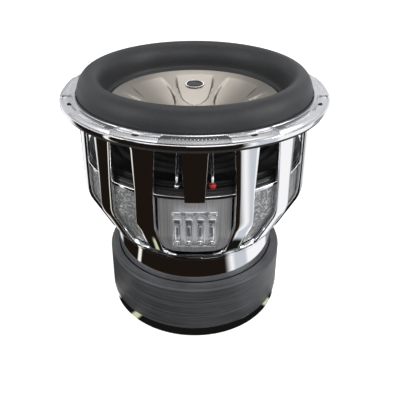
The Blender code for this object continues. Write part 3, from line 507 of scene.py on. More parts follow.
CHROME = make_chrome()
SILVER = make_satin_silver()
CHAMPAGNE = make_champagne()
BRUSHED = make_brushed_panel()
PLATED = make_plain_metal("plated_metal", (0.78, 0.78, 0.79), (0.90, 0.90, 0.90), 0.12)
BUTTON_METAL = make_plain_metal("button_metal", (0.88, 0.88, 0.89), (0.96, 0.96, 0.97), 0.34)
SPRING_STEEL = make_plain_metal("spring_steel", (0.50, 0.50, 0.52), (0.70, 0.70, 0.72), 0.22)
print("metals: chrome, satin silver, champagne, brushed panel, and three plain ones")

# %% [markdown]
# The screen behind the lower windows is woven metal, far too fine to model wire by wire. Its
# shader draws a row of small round holes along the surface, each row shifted by half a step, and
# the same pattern dents the surface.

# %% the screen's weave
WEAVE_PITCH = 0.0020
ROW_SHARE = 0.87
SCREEN_RADIUS = 0.130


def make_mesh_metal():
    paint = Paint("mesh_metal", Metallic=0.35)
    _, azimuth, height = paint.polar()
    across = azimuth * (SCREEN_RADIUS / WEAVE_PITCH)
    up = height / (ROW_SHARE * WEAVE_PITCH)
    row = up.floor()
    u = (across + (row % 2.0) * 0.5) % 1.0 - 0.5
    v = up - row - 0.5
    distance = (u * u + v * v) ** 0.5
    wire = distance.between(0.26, 0.44)
    cloud = paint.noise(45.0, 4.0)
    # Painted glints: random specks on the wires turn pure white and glossier, standing in for wires that
    # catch the light.
    painted_glint = paint.noise(330.0, 1.0).between(0.46, 0.60)
    light = paint.mix((0.36, 0.37, 0.38), (1.0, 1.0, 1.0), painted_glint * (0.7 + 0.3 * cloud))
    return paint.finish(paint.mix((0.09, 0.09, 0.09), light, wire), 0.46 - 0.24 * painted_glint, wire, 0.0003)


MESH_METAL = make_mesh_metal()
print("weave pitch %.1f mm" % (1000.0 * WEAVE_PITCH))

# %% [markdown]
# Rubber, foam, pulp and cloth differ in their grain. The surround is pressed foam rubber with a
# fine speckle. The boot round the magnets is smooth, with long faint streaks round it. The cone
# is pulp, with loose fibres, and the spiders are woven and stiffened with resin.

# %% rubber, pulp, cloth and plastics
def make_surround_rubber():
    paint = Paint("surround_rubber", Specular_IOR_Level=0.45)
    speckle = paint.noise(1700.0, 2.0)
    dark = paint.mix((0.020, 0.021, 0.023), (0.030, 0.031, 0.034), paint.noise(25.0, 4.0))
    colour = paint.mix(dark, (0.070, 0.071, 0.076), speckle.between(0.58, 0.72))
    return paint.finish(colour, 0.38 + 0.16 * speckle, speckle, 0.00012)


def make_boot_rubber():
    paint = Paint("boot_rubber", Specular_IOR_Level=0.5)
    _, azimuth, height = paint.polar()
    streak = paint.noise(1.0, 5.0, place=paint.plane(azimuth * 1.3, height * 420.0), roughness=0.65)
    grain = paint.noise(1200.0, 2.0)
    tone = streak.between(0.35, 0.7) * 0.6 + paint.noise(30.0, 5.0) * 0.4
    colour = paint.mix((0.034, 0.035, 0.038), (0.115, 0.118, 0.126), tone)
    return paint.finish(colour, 0.36 + 0.16 * streak + 0.08 * grain, streak * 0.7 + grain * 0.3, 0.00010)


def make_grained(name, dark, light, rough, scale, depth):
    paint = Paint(name)
    grain = paint.noise(scale, 4.0)
    return paint.finish(paint.mix(dark, light, grain.between(0.3, 0.7)), rough + 0.15 * grain, grain, depth)


def make_spider_cloth():
    paint = Paint("spider_cloth", Specular_IOR_Level=0.3)
    x, y, _ = paint.parts(paint.place())
    weave = (x * 4200.0).sine() * (y * 4200.0).sine() * 0.5 + 0.5
    # Painted shade: the sunken cells of the weave are darker than the raised ones.
    colour = paint.mix((0.018, 0.018, 0.018), (0.060, 0.058, 0.055), weave)
    return paint.finish(colour, 0.62 + 0.2 * weave, weave, 0.0002)


def make_copper():
    """Turns of wire, one above the other, with painted shade: each turn lighter on its crest and darker in
    the groove between turns.
    """
    paint = Paint("copper_wire", Metallic=1.0)
    _, _, height = paint.parts(paint.place())
    turns = (height * 9000.0).sine() * 0.5 + 0.5
    # Painted shade: the colour follows the turns, light on each crest and dark in each groove.
    colour = paint.mix((0.42, 0.16, 0.08), (0.80, 0.42, 0.26), turns)
    return paint.finish(colour, 0.22 + 0.12 * turns, turns, 0.0002)


def make_tinsel():
    """Braid: strands that cross, read from the lead's own UV map; the gaps between the strands are painted
    shade, darker than the strands.
    """
    paint = Paint("tinsel_braid", Metallic=1.0)
    u, v, _ = paint.parts(paint.place("UV"))
    right = ((u * 3.0 + v) * (2.0 * math.pi)).sine()
    left = ((u * 3.0 - v) * (2.0 * math.pi)).sine()
    strand_and_shade = right.most(left) * 0.5 + 0.5
    # Painted shade: the gaps between strands are darker and the strands lighter.
    colour = paint.mix((0.30, 0.30, 0.31), (0.92, 0.92, 0.93), strand_and_shade)
    return paint.finish(colour, 0.20 + 0.25 * (1.0 - strand_and_shade), strand_and_shade, 0.0002)


def make_acrylic():
    paint = Paint("clear_acrylic", IOR=1.49, Transmission_Weight=0.92)
    haze = paint.noise(70.0, 3.0)
    colour = paint.mix((0.86, 0.88, 0.90), (0.97, 0.98, 1.0), haze)
    return paint.finish(colour, 0.03 + 0.10 * haze.between(0.5, 0.8))


SURROUND_RUBBER = make_surround_rubber()
BOOT_RUBBER = make_boot_rubber()
CLOTH = make_spider_cloth()
COPPER = make_copper()
TINSEL = make_tinsel()
ACRYLIC = make_acrylic()
PULP = make_grained("cone_pulp", (0.008, 0.008, 0.008), (0.030, 0.029, 0.028), 0.7, 650.0, 0.0003)
FOAM = make_grained("gasket_foam", (0.012, 0.012, 0.012), (0.040, 0.040, 0.040), 0.8, 900.0, 0.0003)
BLACK = make_grained("black_plastic", (0.008, 0.008, 0.009), (0.020, 0.020, 0.021), 0.28, 1100.0, 0.00004)
FERRITE = make_grained("ferrite", (0.04, 0.04, 0.045), (0.09, 0.09, 0.10), 0.5, 300.0, 0.0002)
RED = make_grained("red_plastic", (0.42, 0.012, 0.012), (0.62, 0.03, 0.025), 0.24, 400.0, 0.00005)
SCREW_BLACK = make_grained("screw_black", (0.02, 0.02, 0.02), (0.05, 0.05, 0.05), 0.35, 900.0, 0.00003)
GLOSS = make_grained("badge_gloss", (0.006, 0.006, 0.007), (0.012, 0.012, 0.014), 0.06, 60.0, 0.00001)
print("rubber, pulp, cloth and plastics ready")

# %% [markdown]
# The CAD nodes that stay as they are sit inside the motor. They only need their finish.

# %% finishes of the inner nodes
INNER = {
    "magnet_lower": FERRITE,
    "magnet_middle": FERRITE,
    "magnet_upper": FERRITE,
    "shorting_ring": COPPER,
    "coil_inner": COPPER,
    "coil_outer": COPPER,
    "former": SILVER,
    "former_collar": BLACK,
    "vent_screen": BLACK,
}
for node, finish in INNER.items():
    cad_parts[node].material_slots[0].material = finish
print("finished", len(INNER), "inner nodes")

# %% [markdown]
# ## The motor
# The back plate and the top plate are turned steel with a mirror finish, so each is a profile
# turned in many steps with rounded edges. The boot is a moulded rubber sleeve. Its shoulder has
# two steps with a groove between them, and faint grooves show where one magnet ends and the next
# begins, because the rubber sinks in there.

# %% yoke and top plate
FINE = 192
BACK_RADIUS = reach("yoke")
POLE_TOP = high("yoke")
BACK_TOP = low("magnet_lower") - GAP
POLE_RADIUS = reach("shorting_ring") - 0.0090 - GAP
VENT_RADIUS = 0.0130
VENT_FLARE = 0.0050
yoke_profile = rounded(
    [
        (POLE_RADIUS, POLE_TOP, 0.0010),
        (POLE_RADIUS, BACK_TOP, 0.0),
        (BACK_RADIUS, BACK_TOP, 0.0014),
        (BACK_RADIUS, 0.0, 0.0016),
        (VENT_RADIUS + VENT_FLARE, 0.0, 0.0020),
        (VENT_RADIUS, VENT_FLARE, 0.0020),
        (VENT_RADIUS, POLE_TOP - VENT_FLARE, 0.0020),
        (VENT_RADIUS + VENT_FLARE, POLE_TOP, 0.0020),
    ]
)
hand_over(lathe("back_plate", yoke_profile, CHROME, FINE), "frame", "chrome", "yoke")

TOP_RADIUS = reach("top_plate")
TOP_BORE = 0.0415
top_levels = (low("top_plate"), high("top_plate"))
top_plate = ring("top_plate_ring", TOP_BORE, TOP_RADIUS, *top_levels, CHROME, 0.0009, FINE)
hand_over(top_plate, "frame", "chrome", "top_plate")

# %% boot
BOOT_OUTER = reach("magnet_boot")
BOOT_INNER = reach("magnet_lower") + GAP
BOOT_LOW = low("magnet_boot")
BOOT_HIGH = high("magnet_boot")
LIP_BORE = TOP_RADIUS + 0.0008
LIP_LOW = BOOT_HIGH - 0.0030
SHOULDER = 0.0026


def boot_side():
    """The boot's outer side from top to bottom, with a faint groove at each joint."""
    points = [(BOOT_OUTER, BOOT_HIGH - 1.8 * SHOULDER, 0.0006)]
    for joint in (high("magnet_middle"), high("magnet_lower")):
        for offset, depth in ((0.0012, 0.0), (0.0, 0.00035), (-0.0012, 0.0)):
            points.append((BOOT_OUTER - depth, joint + offset, 0.0004))
    points.append((BOOT_OUTER, BOOT_LOW, 0.0008))
    return points


boot_profile = rounded(
    [
        (BOOT_OUTER - 1.9 * SHOULDER, BOOT_HIGH, 0.0008),
        (BOOT_OUTER - 1.3 * SHOULDER, BOOT_HIGH - 0.5 * SHOULDER, 0.0006),
        (BOOT_OUTER - 0.75 * SHOULDER, BOOT_HIGH - 0.5 * SHOULDER, 0.0005),
        (BOOT_OUTER - 0.70 * SHOULDER, BOOT_HIGH - 0.9 * SHOULDER, 0.0003),
    ]
    + boot_side()
    + [
        (BOOT_INNER, BOOT_LOW, 0.0003),
        (BOOT_INNER, LIP_LOW, 0.0),
        (LIP_BORE, LIP_LOW, 0.0003),
        (LIP_BORE, BOOT_HIGH, 0.0006),
    ]
)
hand_over(lathe("boot", boot_profile, BOOT_RUBBER, FINE), "frame", "boot_rubber", "magnet_boot")

# %% [markdown]
# ## The basket
# The basket is cast in one piece and chromed: a flange, sixteen spokes that bend in and become
# legs, and a slotted ring on the top plate. All spokes are alike except the front one, which
# stops at the shelf to leave room for the terminals. So one wedge of skin is made for a spoke,
# with its half windows on either side. Geometry Nodes turn fifteen copies of it round the axis,
# the short wedge fills the gap, and Solidify and Bevel give the skin its wall and its soft edges.

# %% levels and sizes of the basket
FLANGE_RADIUS = reach("basket")
FLANGE_TOP = high("basket")
BASE_LOW = low("basket")
WALL = 0.0055
BODY_RADIUS = FLANGE_RADIUS - 0.0195
BODY_INNER = BODY_RADIUS - WALL
FLANGE_LOW = FLANGE_TOP - WALL
WINDOW_TOP = FLANGE_LOW - 0.0101
SHELF_TOP = low("spider_ring") - 0.0016
SHELF_LOW = SHELF_TOP - 0.0045
SHELF_BORE = BODY_RADIUS - 0.0330
BASE_RADIUS = TOP_RADIUS + 0.0020
BASE_BORE = POLE_RADIUS + 0.0252
BASE_EDGE = BASE_LOW + 0.0035
FOOT_END = BASE_EDGE + 0.0082
SPOKES = 16
PITCH = 360.0 / SPOKES
HALF_TOP = 5.75
HALF_LOW = 4.50
LEG_SLOPE = math.radians(27.0)
FOOT_SLOPE = math.radians(58.0)
BEND = 0.0340
FOOT_BEND = 0.0180
FOOT_RUN = 0.0054


def bend_points(start, radius, first, last, steps):
    """Points on an arc that turns inwards, as (radius, height, slope from upright)."""
    points = []
    for step in range(1, steps + 1):
        slope = first + (last - first) * step / steps
        inwards = radius * (math.cos(first) - math.cos(slope))
        down = radius * (math.sin(slope) - math.sin(first))
        points.append((start[0] - inwards, start[1] - down, slope))
    return points


def leg_skin():
    """Outer skin of a leg from its bend to its foot."""
    run = BEND * (1 - math.cos(LEG_SLOPE)) + FOOT_BEND * (math.cos(LEG_SLOPE) - math.cos(FOOT_SLOPE))
    fall = BEND * math.sin(LEG_SLOPE) + FOOT_BEND * (math.sin(FOOT_SLOPE) - math.sin(LEG_SLOPE))
    length = (BODY_RADIUS - BASE_RADIUS - FOOT_RUN - run) / math.sin(LEG_SLOPE)
    bend_top = FOOT_END + fall + length * math.cos(LEG_SLOPE)
    points = [(BODY_RADIUS, bend_top, 0.0)]
    points += bend_points(points[-1], BEND, 0.0, LEG_SLOPE, 7)
    radius, height, _ = points[-1]
    steps = 14
    for step in range(1, steps + 1):
        part = length * step / steps
        inwards, down = part * math.sin(LEG_SLOPE), part * math.cos(LEG_SLOPE)
        points.append((radius - inwards, height - down, LEG_SLOPE))
    return points + bend_points(points[-1], FOOT_BEND, LEG_SLOPE, FOOT_SLOPE, 4)


LEG_SKIN = leg_skin()
BEND_TOP = LEG_SKIN[0][1]
print("legs bend at %.1f mm and end at %.1f mm" % (1000 * BEND_TOP, 1000 * LEG_SKIN[-1][1]))

# %% one wedge of the skin
TOP_CORNER = 0.0045
LOW_CORNER = 0.0125


def corner(distance, size):
    """How far a rounded corner reaches in at a distance from the window's end."""
    if distance >= size:
        return 0.0
    return size - math.sqrt(size * size - (size - distance) ** 2)


def skin_rows():
    """Rows of the skin: radius, height, half width of the spoke and what lies below the row."""
    rows = [
        (FLANGE_RADIUS, FLANGE_LOW, HALF_TOP, "all"),
        (FLANGE_RADIUS - 0.009, FLANGE_LOW, HALF_TOP, "all"),
        (BODY_RADIUS + 0.0040, FLANGE_LOW, HALF_TOP, "all"),
        (BODY_RADIUS + 0.0012, FLANGE_LOW - 0.0012, HALF_TOP, "all"),
        (BODY_RADIUS, FLANGE_LOW - 0.0040, HALF_TOP, "all"),
    ]
    upright = [WINDOW_TOP - 0.0023 * step for step in range(4)]
    count = 20
    start = upright[-1]
    upright += [start + (BEND_TOP - start) * step / count for step in range(1, count)]
    window = [(BODY_RADIUS, height) for height in upright]
    window += [(radius, height) for radius, height, _ in LEG_SKIN]
    lengths = [0.0]
    for first, second in zip(window, window[1:]):
        lengths.append(lengths[-1] + math.dist(first, second))
    for (radius, height), length in zip(window, lengths):
        share = min(1.0, (WINDOW_TOP - height) / (WINDOW_TOP - SHELF_TOP))
        half = HALF_TOP + (HALF_LOW - HALF_TOP) * share
        reached = corner(length, TOP_CORNER) + corner(lengths[-1] - length, LOW_CORNER)
        rows.append((radius, height, half + math.degrees(reached / radius), "spoke"))
    foot = rows.pop()
    lip = (0.5 * (foot[0] + BASE_RADIUS) + 0.001, 0.5 * (foot[1] + BASE_EDGE))
    rows.append((*foot[:3], "all"))
    rows.append((*lip, HALF_LOW, "spoke"))
    rows.append((BASE_RADIUS, BASE_EDGE, HALF_LOW, "all"))
    rows.append((BASE_RADIUS, BASE_LOW, HALF_LOW, "all"))
    rows.append((BASE_BORE, BASE_LOW, HALF_LOW, "end"))
    return rows


def skin_wedge(name, short):
    """One pitch of the skin; the short one has no leg below the shelf, only its foot."""
    rows = skin_rows()
    spoke_cells, side_cells = 4, 3
    points, faces = [], []
    columns = spoke_cells + 2 * side_cells + 1
    for radius, height, half, _ in rows:
        left = [-0.5 * PITCH + (0.5 * PITCH - half) * i / side_cells for i in range(side_cells)]
        middle = [-half + 2 * half * i / spoke_cells for i in range(spoke_cells + 1)]
        for azimuth in left + middle + [-a for a in reversed(left)]:
            points.append(at(radius, azimuth, height))
    for i in range(len(rows) - 1):
        kind = rows[i][3]
        cut_away = short and kind == "spoke" and rows[i + 1][1] < SHELF_LOW - 0.002
        in_feet = rows[i][1] < FOOT_END - 0.001
        for j in range(columns - 1):
            on_spoke = side_cells <= j < side_cells + spoke_cells
            if kind == "all" or (on_spoke and (in_feet or not cut_away)):
                a = i * columns + j
                faces.append((a, a + columns, a + columns + 1, a + 1))
    wedge = add_piece(name, points, faces, CHROME)
    with editing(wedge.data) as build:
        loose = [vertex for vertex in build.verts if not vertex.link_faces]
        bmesh.ops.delete(build, geom=loose, context="VERTS")
    return wedge


# %% the whole basket
SLOTS = 8
SLOT_TURN = 180.0 / SLOTS
SLOT_PLACE = BODY_RADIUS + 0.0102
SLOT_HALF_RUN = 0.00185
SLOT_HALF_WIDTH = 0.0024
SLOT_REACH = 0.002
SEAM_MERGE = 2e-5


def slot_tools(bottom, top):
    """The eight mounting slots as one cutter, with round ends."""
    turns = 10
    outline = []
    for side in (1.0, -1.0):
        for step in range(turns + 1):
            angle = math.pi * (step / turns - 0.5)
            x = SLOT_HALF_RUN + SLOT_HALF_WIDTH * math.cos(angle)
            outline.append((side * x, side * SLOT_HALF_WIDTH * math.sin(angle) - SLOT_PLACE))
    points = [(x, y, z) for z in (bottom - SLOT_REACH, top + SLOT_REACH) for x, y in outline]
    slot = add_piece("one_slot", points, tube_faces(2, len(outline)), CHROME)
    return copies_round("slots", slot, SLOTS, first=SLOT_TURN)


def make_basket():
    legs = copies_round("legs", skin_wedge("spoke_wedge", False), SPOKES - 1, PITCH, PITCH)
    skin = join("basket_skin", [legs, skin_wedge("front_wedge", True)])
    with editing(skin.data) as build:
        bmesh.ops.remove_doubles(build, verts=build.verts, dist=SEAM_MERGE)
        bmesh.ops.recalc_face_normals(build, faces=build.faces)
        flange_face = max(build.faces, key=lambda face: face.calc_center_median().z)
        if flange_face.normal.z > 0.0:
            bmesh.ops.reverse_faces(build, faces=build.faces)
    return soften(thicken(skin, WALL), 0.0009)


shelf_profile = rounded(
    [
        (BODY_INNER + 0.0010, SHELF_TOP, 0.0010),
        (BODY_INNER + 0.0010, SHELF_LOW, 0.0014),
        (SHELF_BORE, SHELF_LOW, 0.0008),
        (SHELF_BORE, SHELF_TOP, 0.0006),
    ]
)
shelf = lathe("shelf", shelf_profile, CHROME, FINE)
basket = cut(make_basket(), slot_tools(FLANGE_LOW, FLANGE_TOP), 50.0)
basket = join("chrome_basket", [basket, shelf])
hand_over(basket, "frame", "chrome", "basket")

# %% [markdown]
# ## The screen and the terminal plate
# The screen follows the inside of the legs, a wall's thickness in, and stays open at the front
# where the terminal plate stands. The plate is upright above and leans in with the legs below.

# %% screen behind the lower windows
def inside(point, depth):
    """The point that lies a depth behind a point of the leg's skin."""
    radius, height, slope = point
    return (radius - depth * math.cos(slope), height + depth * math.sin(slope))


SCREEN_END = 20.6
SCREEN_WALL = 0.0012
SCREEN_STEPS = 150
screen_skin = [(BODY_RADIUS, SHELF_LOW - GAP, 0.0), (BODY_RADIUS, 0.5 * (SHELF_LOW + BEND_TOP), 0.0)]
screen_skin += LEG_SKIN[:-2]
screen_loop = [inside(point, WALL + 2 * GAP) for point in screen_skin]
screen_loop += [inside(point, WALL + 2 * GAP + SCREEN_WALL) for point in reversed(screen_skin)]
screen_points = []
for step in range(SCREEN_STEPS + 1):
    azimuth = SCREEN_END + (360.0 - 2.0 * SCREEN_END) * step / SCREEN_STEPS
    screen_points += [at(radius, azimuth, height) for radius, height in screen_loop]
screen_faces = tube_faces(SCREEN_STEPS + 1, len(screen_loop))
screen = add_piece("screen", screen_points, screen_faces, MESH_METAL)
hand_over(screen, "frame", "mesh_metal", "vent_mesh")

# %% terminal plate
PLATE_RADIUS = BODY_INNER - 0.0050
PLATE_HALF = 18.0
PLATE_LOW = BASE_LOW + 0.0223
PLATE_BEND = PLATE_LOW + 0.0286
PLATE_CORNER = 0.0120
PLATE_WALL = 0.0028


def make_plate():
    top = high("terminal_panel")
    rows, across = 26, 36
    points = []
    for i in range(rows + 1):
        height = top + (PLATE_LOW - top) * i / rows
        inset = max(0.0, PLATE_BEND - height) * math.tan(LEG_SLOPE)
        radius = PLATE_RADIUS - inset
        narrowed = math.degrees(corner(height - PLATE_LOW, PLATE_CORNER) / radius)
        for j in range(across + 1):
            points.append(at(radius, (PLATE_HALF - narrowed) * (2.0 * j / across - 1.0), height))
    plate = add_piece("terminal_plate", points, grid_faces(rows + 1, across + 1), BRUSHED)
    centre = min(plate.data.polygons, key=lambda f: f.center.y)
    if centre.normal.y > 0.0:
        plate.data.flip_normals()
    return soften(thicken(plate, PLATE_WALL), 0.0006)


hand_over(make_plate(), "frame", "brushed_panel", "terminal_panel")

# %% [markdown]
# ## The trim ring and the gasket
# The trim is a satin ring whose top is divided into sixteen fields. Eight are raised and carry
# fine ribs, which stand for the raised lettering of such rings. Eight are lower, folded along
# their middle, and hold the mounting slots. One field pair is built as a fine grid of heights
# and copied round.

# %% heights of the trim
TRIM_BORE = BODY_RADIUS + 0.0007
TRIM_RADIUS = reach("trim_ring")
TRIM_LOW = low("trim_ring")
TRIM_TOP = high("trim_ring")
TRIM_EDGE = TRIM_LOW + 0.0010
BAND_END = TRIM_BORE + 0.0034
PANEL_START = TRIM_BORE + 0.0044
PANEL_END = TRIM_RADIUS - 0.0022
FIELD_PAIR = 360.0 / SLOTS
RECESS_HALF = 10.1
CHEVRON = 1.0
SEAM = 0.34
TRIM_CREASE = 28.0


def trim_rows():
    """Radii of the trim's rows, each with its place across the panel."""
    rows = [(TRIM_BORE, None), (TRIM_BORE + 0.0005, None), (BAND_END, None), (BAND_END + 0.0003, None)]
    count = 10
    for step in range(count + 1):
        share = step / count
        rows.append((PANEL_START + (PANEL_END - PANEL_START) * share, share))
    return rows + [(PANEL_END + 0.0005, None), (TRIM_RADIUS, None)]


def trim_columns():
    """Columns from one raised field's middle to the next: place in the field, kind, mirrored."""
    half = [(step / 14.0, "raised") for step in range(15)] + [(0.0, "seam"), (1.0, "seam")]
    recess = [(step / 12.0, "recess", False) for step in range(13)]
    return [(*column, False) for column in half] + recess + [(*column, True) for column in half[::-1]]


def trim_azimuth(column, share):
    """Azimuth of a column; the fields' ends are chevrons, so it depends on the row."""
    place, kind, mirrored = column
    fold = 1.0 - abs(2.0 * (0.5 if share is None else share) - 1.0)
    edge = 0.5 * FIELD_PAIR - RECESS_HALF + CHEVRON * (fold - 0.5)
    if kind == "recess":
        start = edge + 2.0 * SEAM
        return start + (FIELD_PAIR - 2.0 * start) * place
    azimuth = edge * place if kind == "raised" else edge + SEAM * (0.5 + place)
    return FIELD_PAIR - azimuth if mirrored else azimuth


def trim_height(column, radius, share):
    """Height of the trim in a column: band, panel with its fold, seam or rim."""
    place, kind, _ = column
    if radius <= BAND_END:
        return TRIM_TOP - (0.0003 if radius == TRIM_BORE else 0.0)
    if share is None:
        rim = TRIM_TOP - (0.0006 if kind == "raised" else 0.0021)
        return TRIM_EDGE if radius == TRIM_RADIUS else rim
    if kind == "seam":
        return TRIM_TOP - 0.0030
    if kind == "raised":
        return TRIM_TOP - (0.0006 if share in (0.0, 1.0) else 0.0002)
    fold = 1.0 - abs(2.0 * share - 1.0)
    return TRIM_TOP - 0.0029 + 0.0015 * fold + 0.0005 * abs(2.0 * place - 1.0)


def make_trim():
    rows, columns = trim_rows(), trim_columns()
    points = []
    for radius, share in rows:
        for column in columns:
            points.append(at(radius, trim_azimuth(column, share), trim_height(column, radius, share)))
    for radius in (TRIM_RADIUS, TRIM_BORE):
        points += [at(radius, trim_azimuth(column, None), TRIM_LOW) for column in columns]
    faces = grid_faces(len(rows) + 2, len(columns), wrap_rows=True)
    sector = add_piece("trim_sector", points, faces, SILVER)
    whole = copies_round("trim", sector, SLOTS, crease=TRIM_CREASE)
    return cut(whole, slot_tools(TRIM_LOW, TRIM_TOP), TRIM_CREASE)


trim = make_trim()
print("trim ring has", len(trim.data.polygons), "faces")

# %% ribs on the raised fields
RIB_COUNT = 13
RIB_STEP = 1.35


def make_ribs():
    """One short rib with a round top, then a row of them, then the row on each raised field."""
    middle = 0.5 * (PANEL_START + PANEL_END)
    half_length, half_width, rise = 0.0030, 0.00085, 0.00045
    points = []
    sections = ((-1.0, 0.35), (-0.9, 0.85), (-0.6, 1.0), (0.6, 1.0), (0.9, 0.85), (1.0, 0.35))
    arc = 6
    for along, size in sections:
        for step in range(arc + 1):
            angle = math.pi * step / arc
            x = half_width * size * math.cos(angle)
            z = TRIM_TOP - 0.0004 + (0.0002 + rise * size) * math.sin(angle)
            points.append((x, -middle - half_length * along, z))
    rib = add_piece("one_rib", points, tube_faces(len(sections), arc + 1), SILVER)
    row = copies_round("rib_row", rib, RIB_COUNT, -0.5 * RIB_STEP * (RIB_COUNT - 1), RIB_STEP)
    return copies_round("ribs", row, SLOTS)


trim = join("satin_trim", [trim, make_ribs()])
hand_over(trim, "frame", "satin_silver", "trim_ring")

# %% gasket under the flange
GASKET_BORE = BODY_RADIUS + 0.0042
gasket_levels = (low("rear_gasket"), high("rear_gasket"))
gasket = ring("gasket", GASKET_BORE, FLANGE_RADIUS - 0.0025, *gasket_levels, FOAM)
hand_over(gasket, "frame", "gasket_foam", "rear_gasket")

# %% [markdown]
# ## The suspension
# The surround is a half roll: its foot is glued to the flange and its lip to the cone. The two
# spiders below are corrugated cloth and flex in the same way; here all three keep their turned shape.

# %% grading by radius
def smooth(share):
    """0 up to 0, 1 from 1 on and smooth in between."""
    share = min(1.0, max(0.0, share))
    return share * share * (3.0 - 2.0 * share)


def hand_over_bent(piece, outer, inner, node):
    """Bake a turned piece's place into its mesh and hide its CAD node; weights for a blend between the
    frame at its outer edge and the cone at its inner edge are worked out but not used.
    """
    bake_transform(piece)
    weights = [smooth((outer - v.co.xy.length) / (outer - inner)) for v in piece.data.vertices]
    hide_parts(node)
    print("%-20s %6d faces, bends" % (piece.name, len(piece.data.polygons)))


def sheet_loop(line, wall):
    """A closed loop of a wall's thickness round an open line of (radius, height)."""
    upper, lower = [], []
    for index, point in enumerate(line):
        before = Vector(line[max(0, index - 1)])
        after = Vector(line[min(len(line) - 1, index + 1)])
        along = (after - before).normalized()
        across = Vector((-along.y, along.x)) * (0.5 * wall)
        upper.append(tuple(Vector(point) + across))
        lower.append(tuple(Vector(point) - across))
    return upper + lower[::-1]


# %% surround
ROLL_OUTER = BODY_RADIUS - 0.0010
ROLL_INNER = reach("cone_body") - 0.0004
SURROUND_WALL = 0.0016
DISH_RADIUS = ROLL_INNER - 0.0038
LIP_LEVEL = low("surround") + 0.5 * SURROUND_WALL
FOOT_LEVEL = FLANGE_TOP + GAP + 0.5 * SURROUND_WALL
ROLL_CREST = high("surround") - 0.5 * SURROUND_WALL


def surround_line():
    """From the foot over the roll, down its inner side and along a narrow flange to the dish."""
    roll_inner = ROLL_INNER + 0.0032
    half = 0.5 * (ROLL_OUTER - roll_inner)
    middle = 0.5 * (ROLL_OUTER + roll_inner)
    rise = ROLL_CREST - FOOT_LEVEL
    drop = FOOT_LEVEL - LIP_LEVEL
    line = [(BODY_RADIUS + 0.0001, FOOT_LEVEL)]
    steps = 44
    for step in range(steps + 1):
        angle = math.pi * step / steps
        line.append((middle + half * math.cos(angle), FOOT_LEVEL + rise * math.sin(angle)))
    for inwards, down in ((0.0, 0.35), (0.0006, 0.62), (0.0022, 0.76), (0.0034, 0.84), (0.0040, 0.93)):
        line.append((roll_inner - inwards, FOOT_LEVEL - down * drop))
    return line + [(DISH_RADIUS + 0.0024, LIP_LEVEL), (DISH_RADIUS + 0.0006, LIP_LEVEL)]


surround = lathe("surround_roll", sheet_loop(surround_line(), SURROUND_WALL), SURROUND_RUBBER, FINE)
hand_over_bent(surround, ROLL_OUTER, ROLL_INNER, "surround")

# %% spiders and the rings that hold them
SPIDER_WALL = 0.0010
FORMER_OUTER = reach("former")


def spider_line(level, outer):
    """Corrugations that fade out towards both edges, from the former to the shelf."""
    waves, rise = 4, 0.0019
    inner = FORMER_OUTER + 3.0 * GAP
    first, last = FORMER_OUTER + 0.0110, SHELF_BORE - 0.0060
    line = [(inner, level), (inner + 0.0050, level)]
    steps = 96
    for step in range(steps + 1):
        share = step / steps
        lift = -rise * math.cos(2.0 * math.pi * waves * share)
        fade = min(1.0, 12.0 * share + 0.2, 12.0 * (1.0 - share) + 0.2)
        line.append((first + (last - first) * share, level + lift * fade))
    return line + [(SHELF_BORE, level), (outer, level)]


SPIDER_RING_OUTER = reach("spider_ring")
CLAMP_OUTER = reach("spider_clamp_ring")
for node, outer in (("spider_lower", SPIDER_RING_OUTER), ("spider_upper", CLAMP_OUTER)):
    level = 0.5 * (low(node) + high(node))
    line = spider_line(level, outer)[::-1]
    cloth = lathe(node + "_cloth", sheet_loop(line, SPIDER_WALL), CLOTH, 128)
    hand_over_bent(cloth, SHELF_BORE, FORMER_OUTER + 0.006, node)
for node, outer in (("spider_ring", SPIDER_RING_OUTER), ("spider_clamp_ring", CLAMP_OUTER)):
    band = ring(node + "_black", SHELF_BORE + 0.0005, outer, low(node), high(node), BLACK, 0.0007, 160)
    hand_over(band, "frame", "black_plastic", node)

# %% [markdown]
# ## The cone
# The cone is black pulp. In front of it sits the shallow dish, pressed from sheet with eight
# U-shaped pockets. Each pocket is deepest at its inner tip and runs out towards the rim, so the
# dish is a grid of heights with a rule for the pockets, and then gets its wall.

# %% dish
DISH_FALL = math.tan(math.radians(25.0))
DISH_EDGE = FLANGE_TOP - 0.0107
DISH_CENTRE = 0.0300
DISH_WALL = 0.0015
POCKET_TIP = 0.0430
POCKET_END = DISH_RADIUS - 0.0086
POCKET_HALF = 0.0270
POCKET_DEPTH = 0.0050
POCKET_WALL = 0.0023
POCKETS = 8


def dish_height(radius):
    if radius >= DISH_CENTRE:
        return DISH_EDGE - (DISH_RADIUS - radius) * DISH_FALL
    edge = DISH_EDGE - (DISH_RADIUS - DISH_CENTRE) * DISH_FALL
    share = radius / DISH_CENTRE
    return edge - 0.5 * DISH_CENTRE * DISH_FALL * (1.0 - share * share)


def pocket_depth(radius, azimuth):
    """Depth of a pocket, by the distance to its U-shaped edge."""
    pitch = 360.0 / POCKETS
    offset = (azimuth + 0.5 * pitch) % pitch - 0.5 * pitch
    along = (radius - POCKET_TIP) / (POCKET_END - POCKET_TIP)
    if along <= 0.0 or along >= 1.0:
        return 0.0
    half = POCKET_HALF * math.sqrt(1.0 - (1.0 - along) ** 2)
    inward = half - abs(radius * math.sin(math.radians(offset)))
    return POCKET_DEPTH * (1.0 - along) ** 0.75 * smooth(inward / POCKET_WALL) * smooth(along / 0.05)


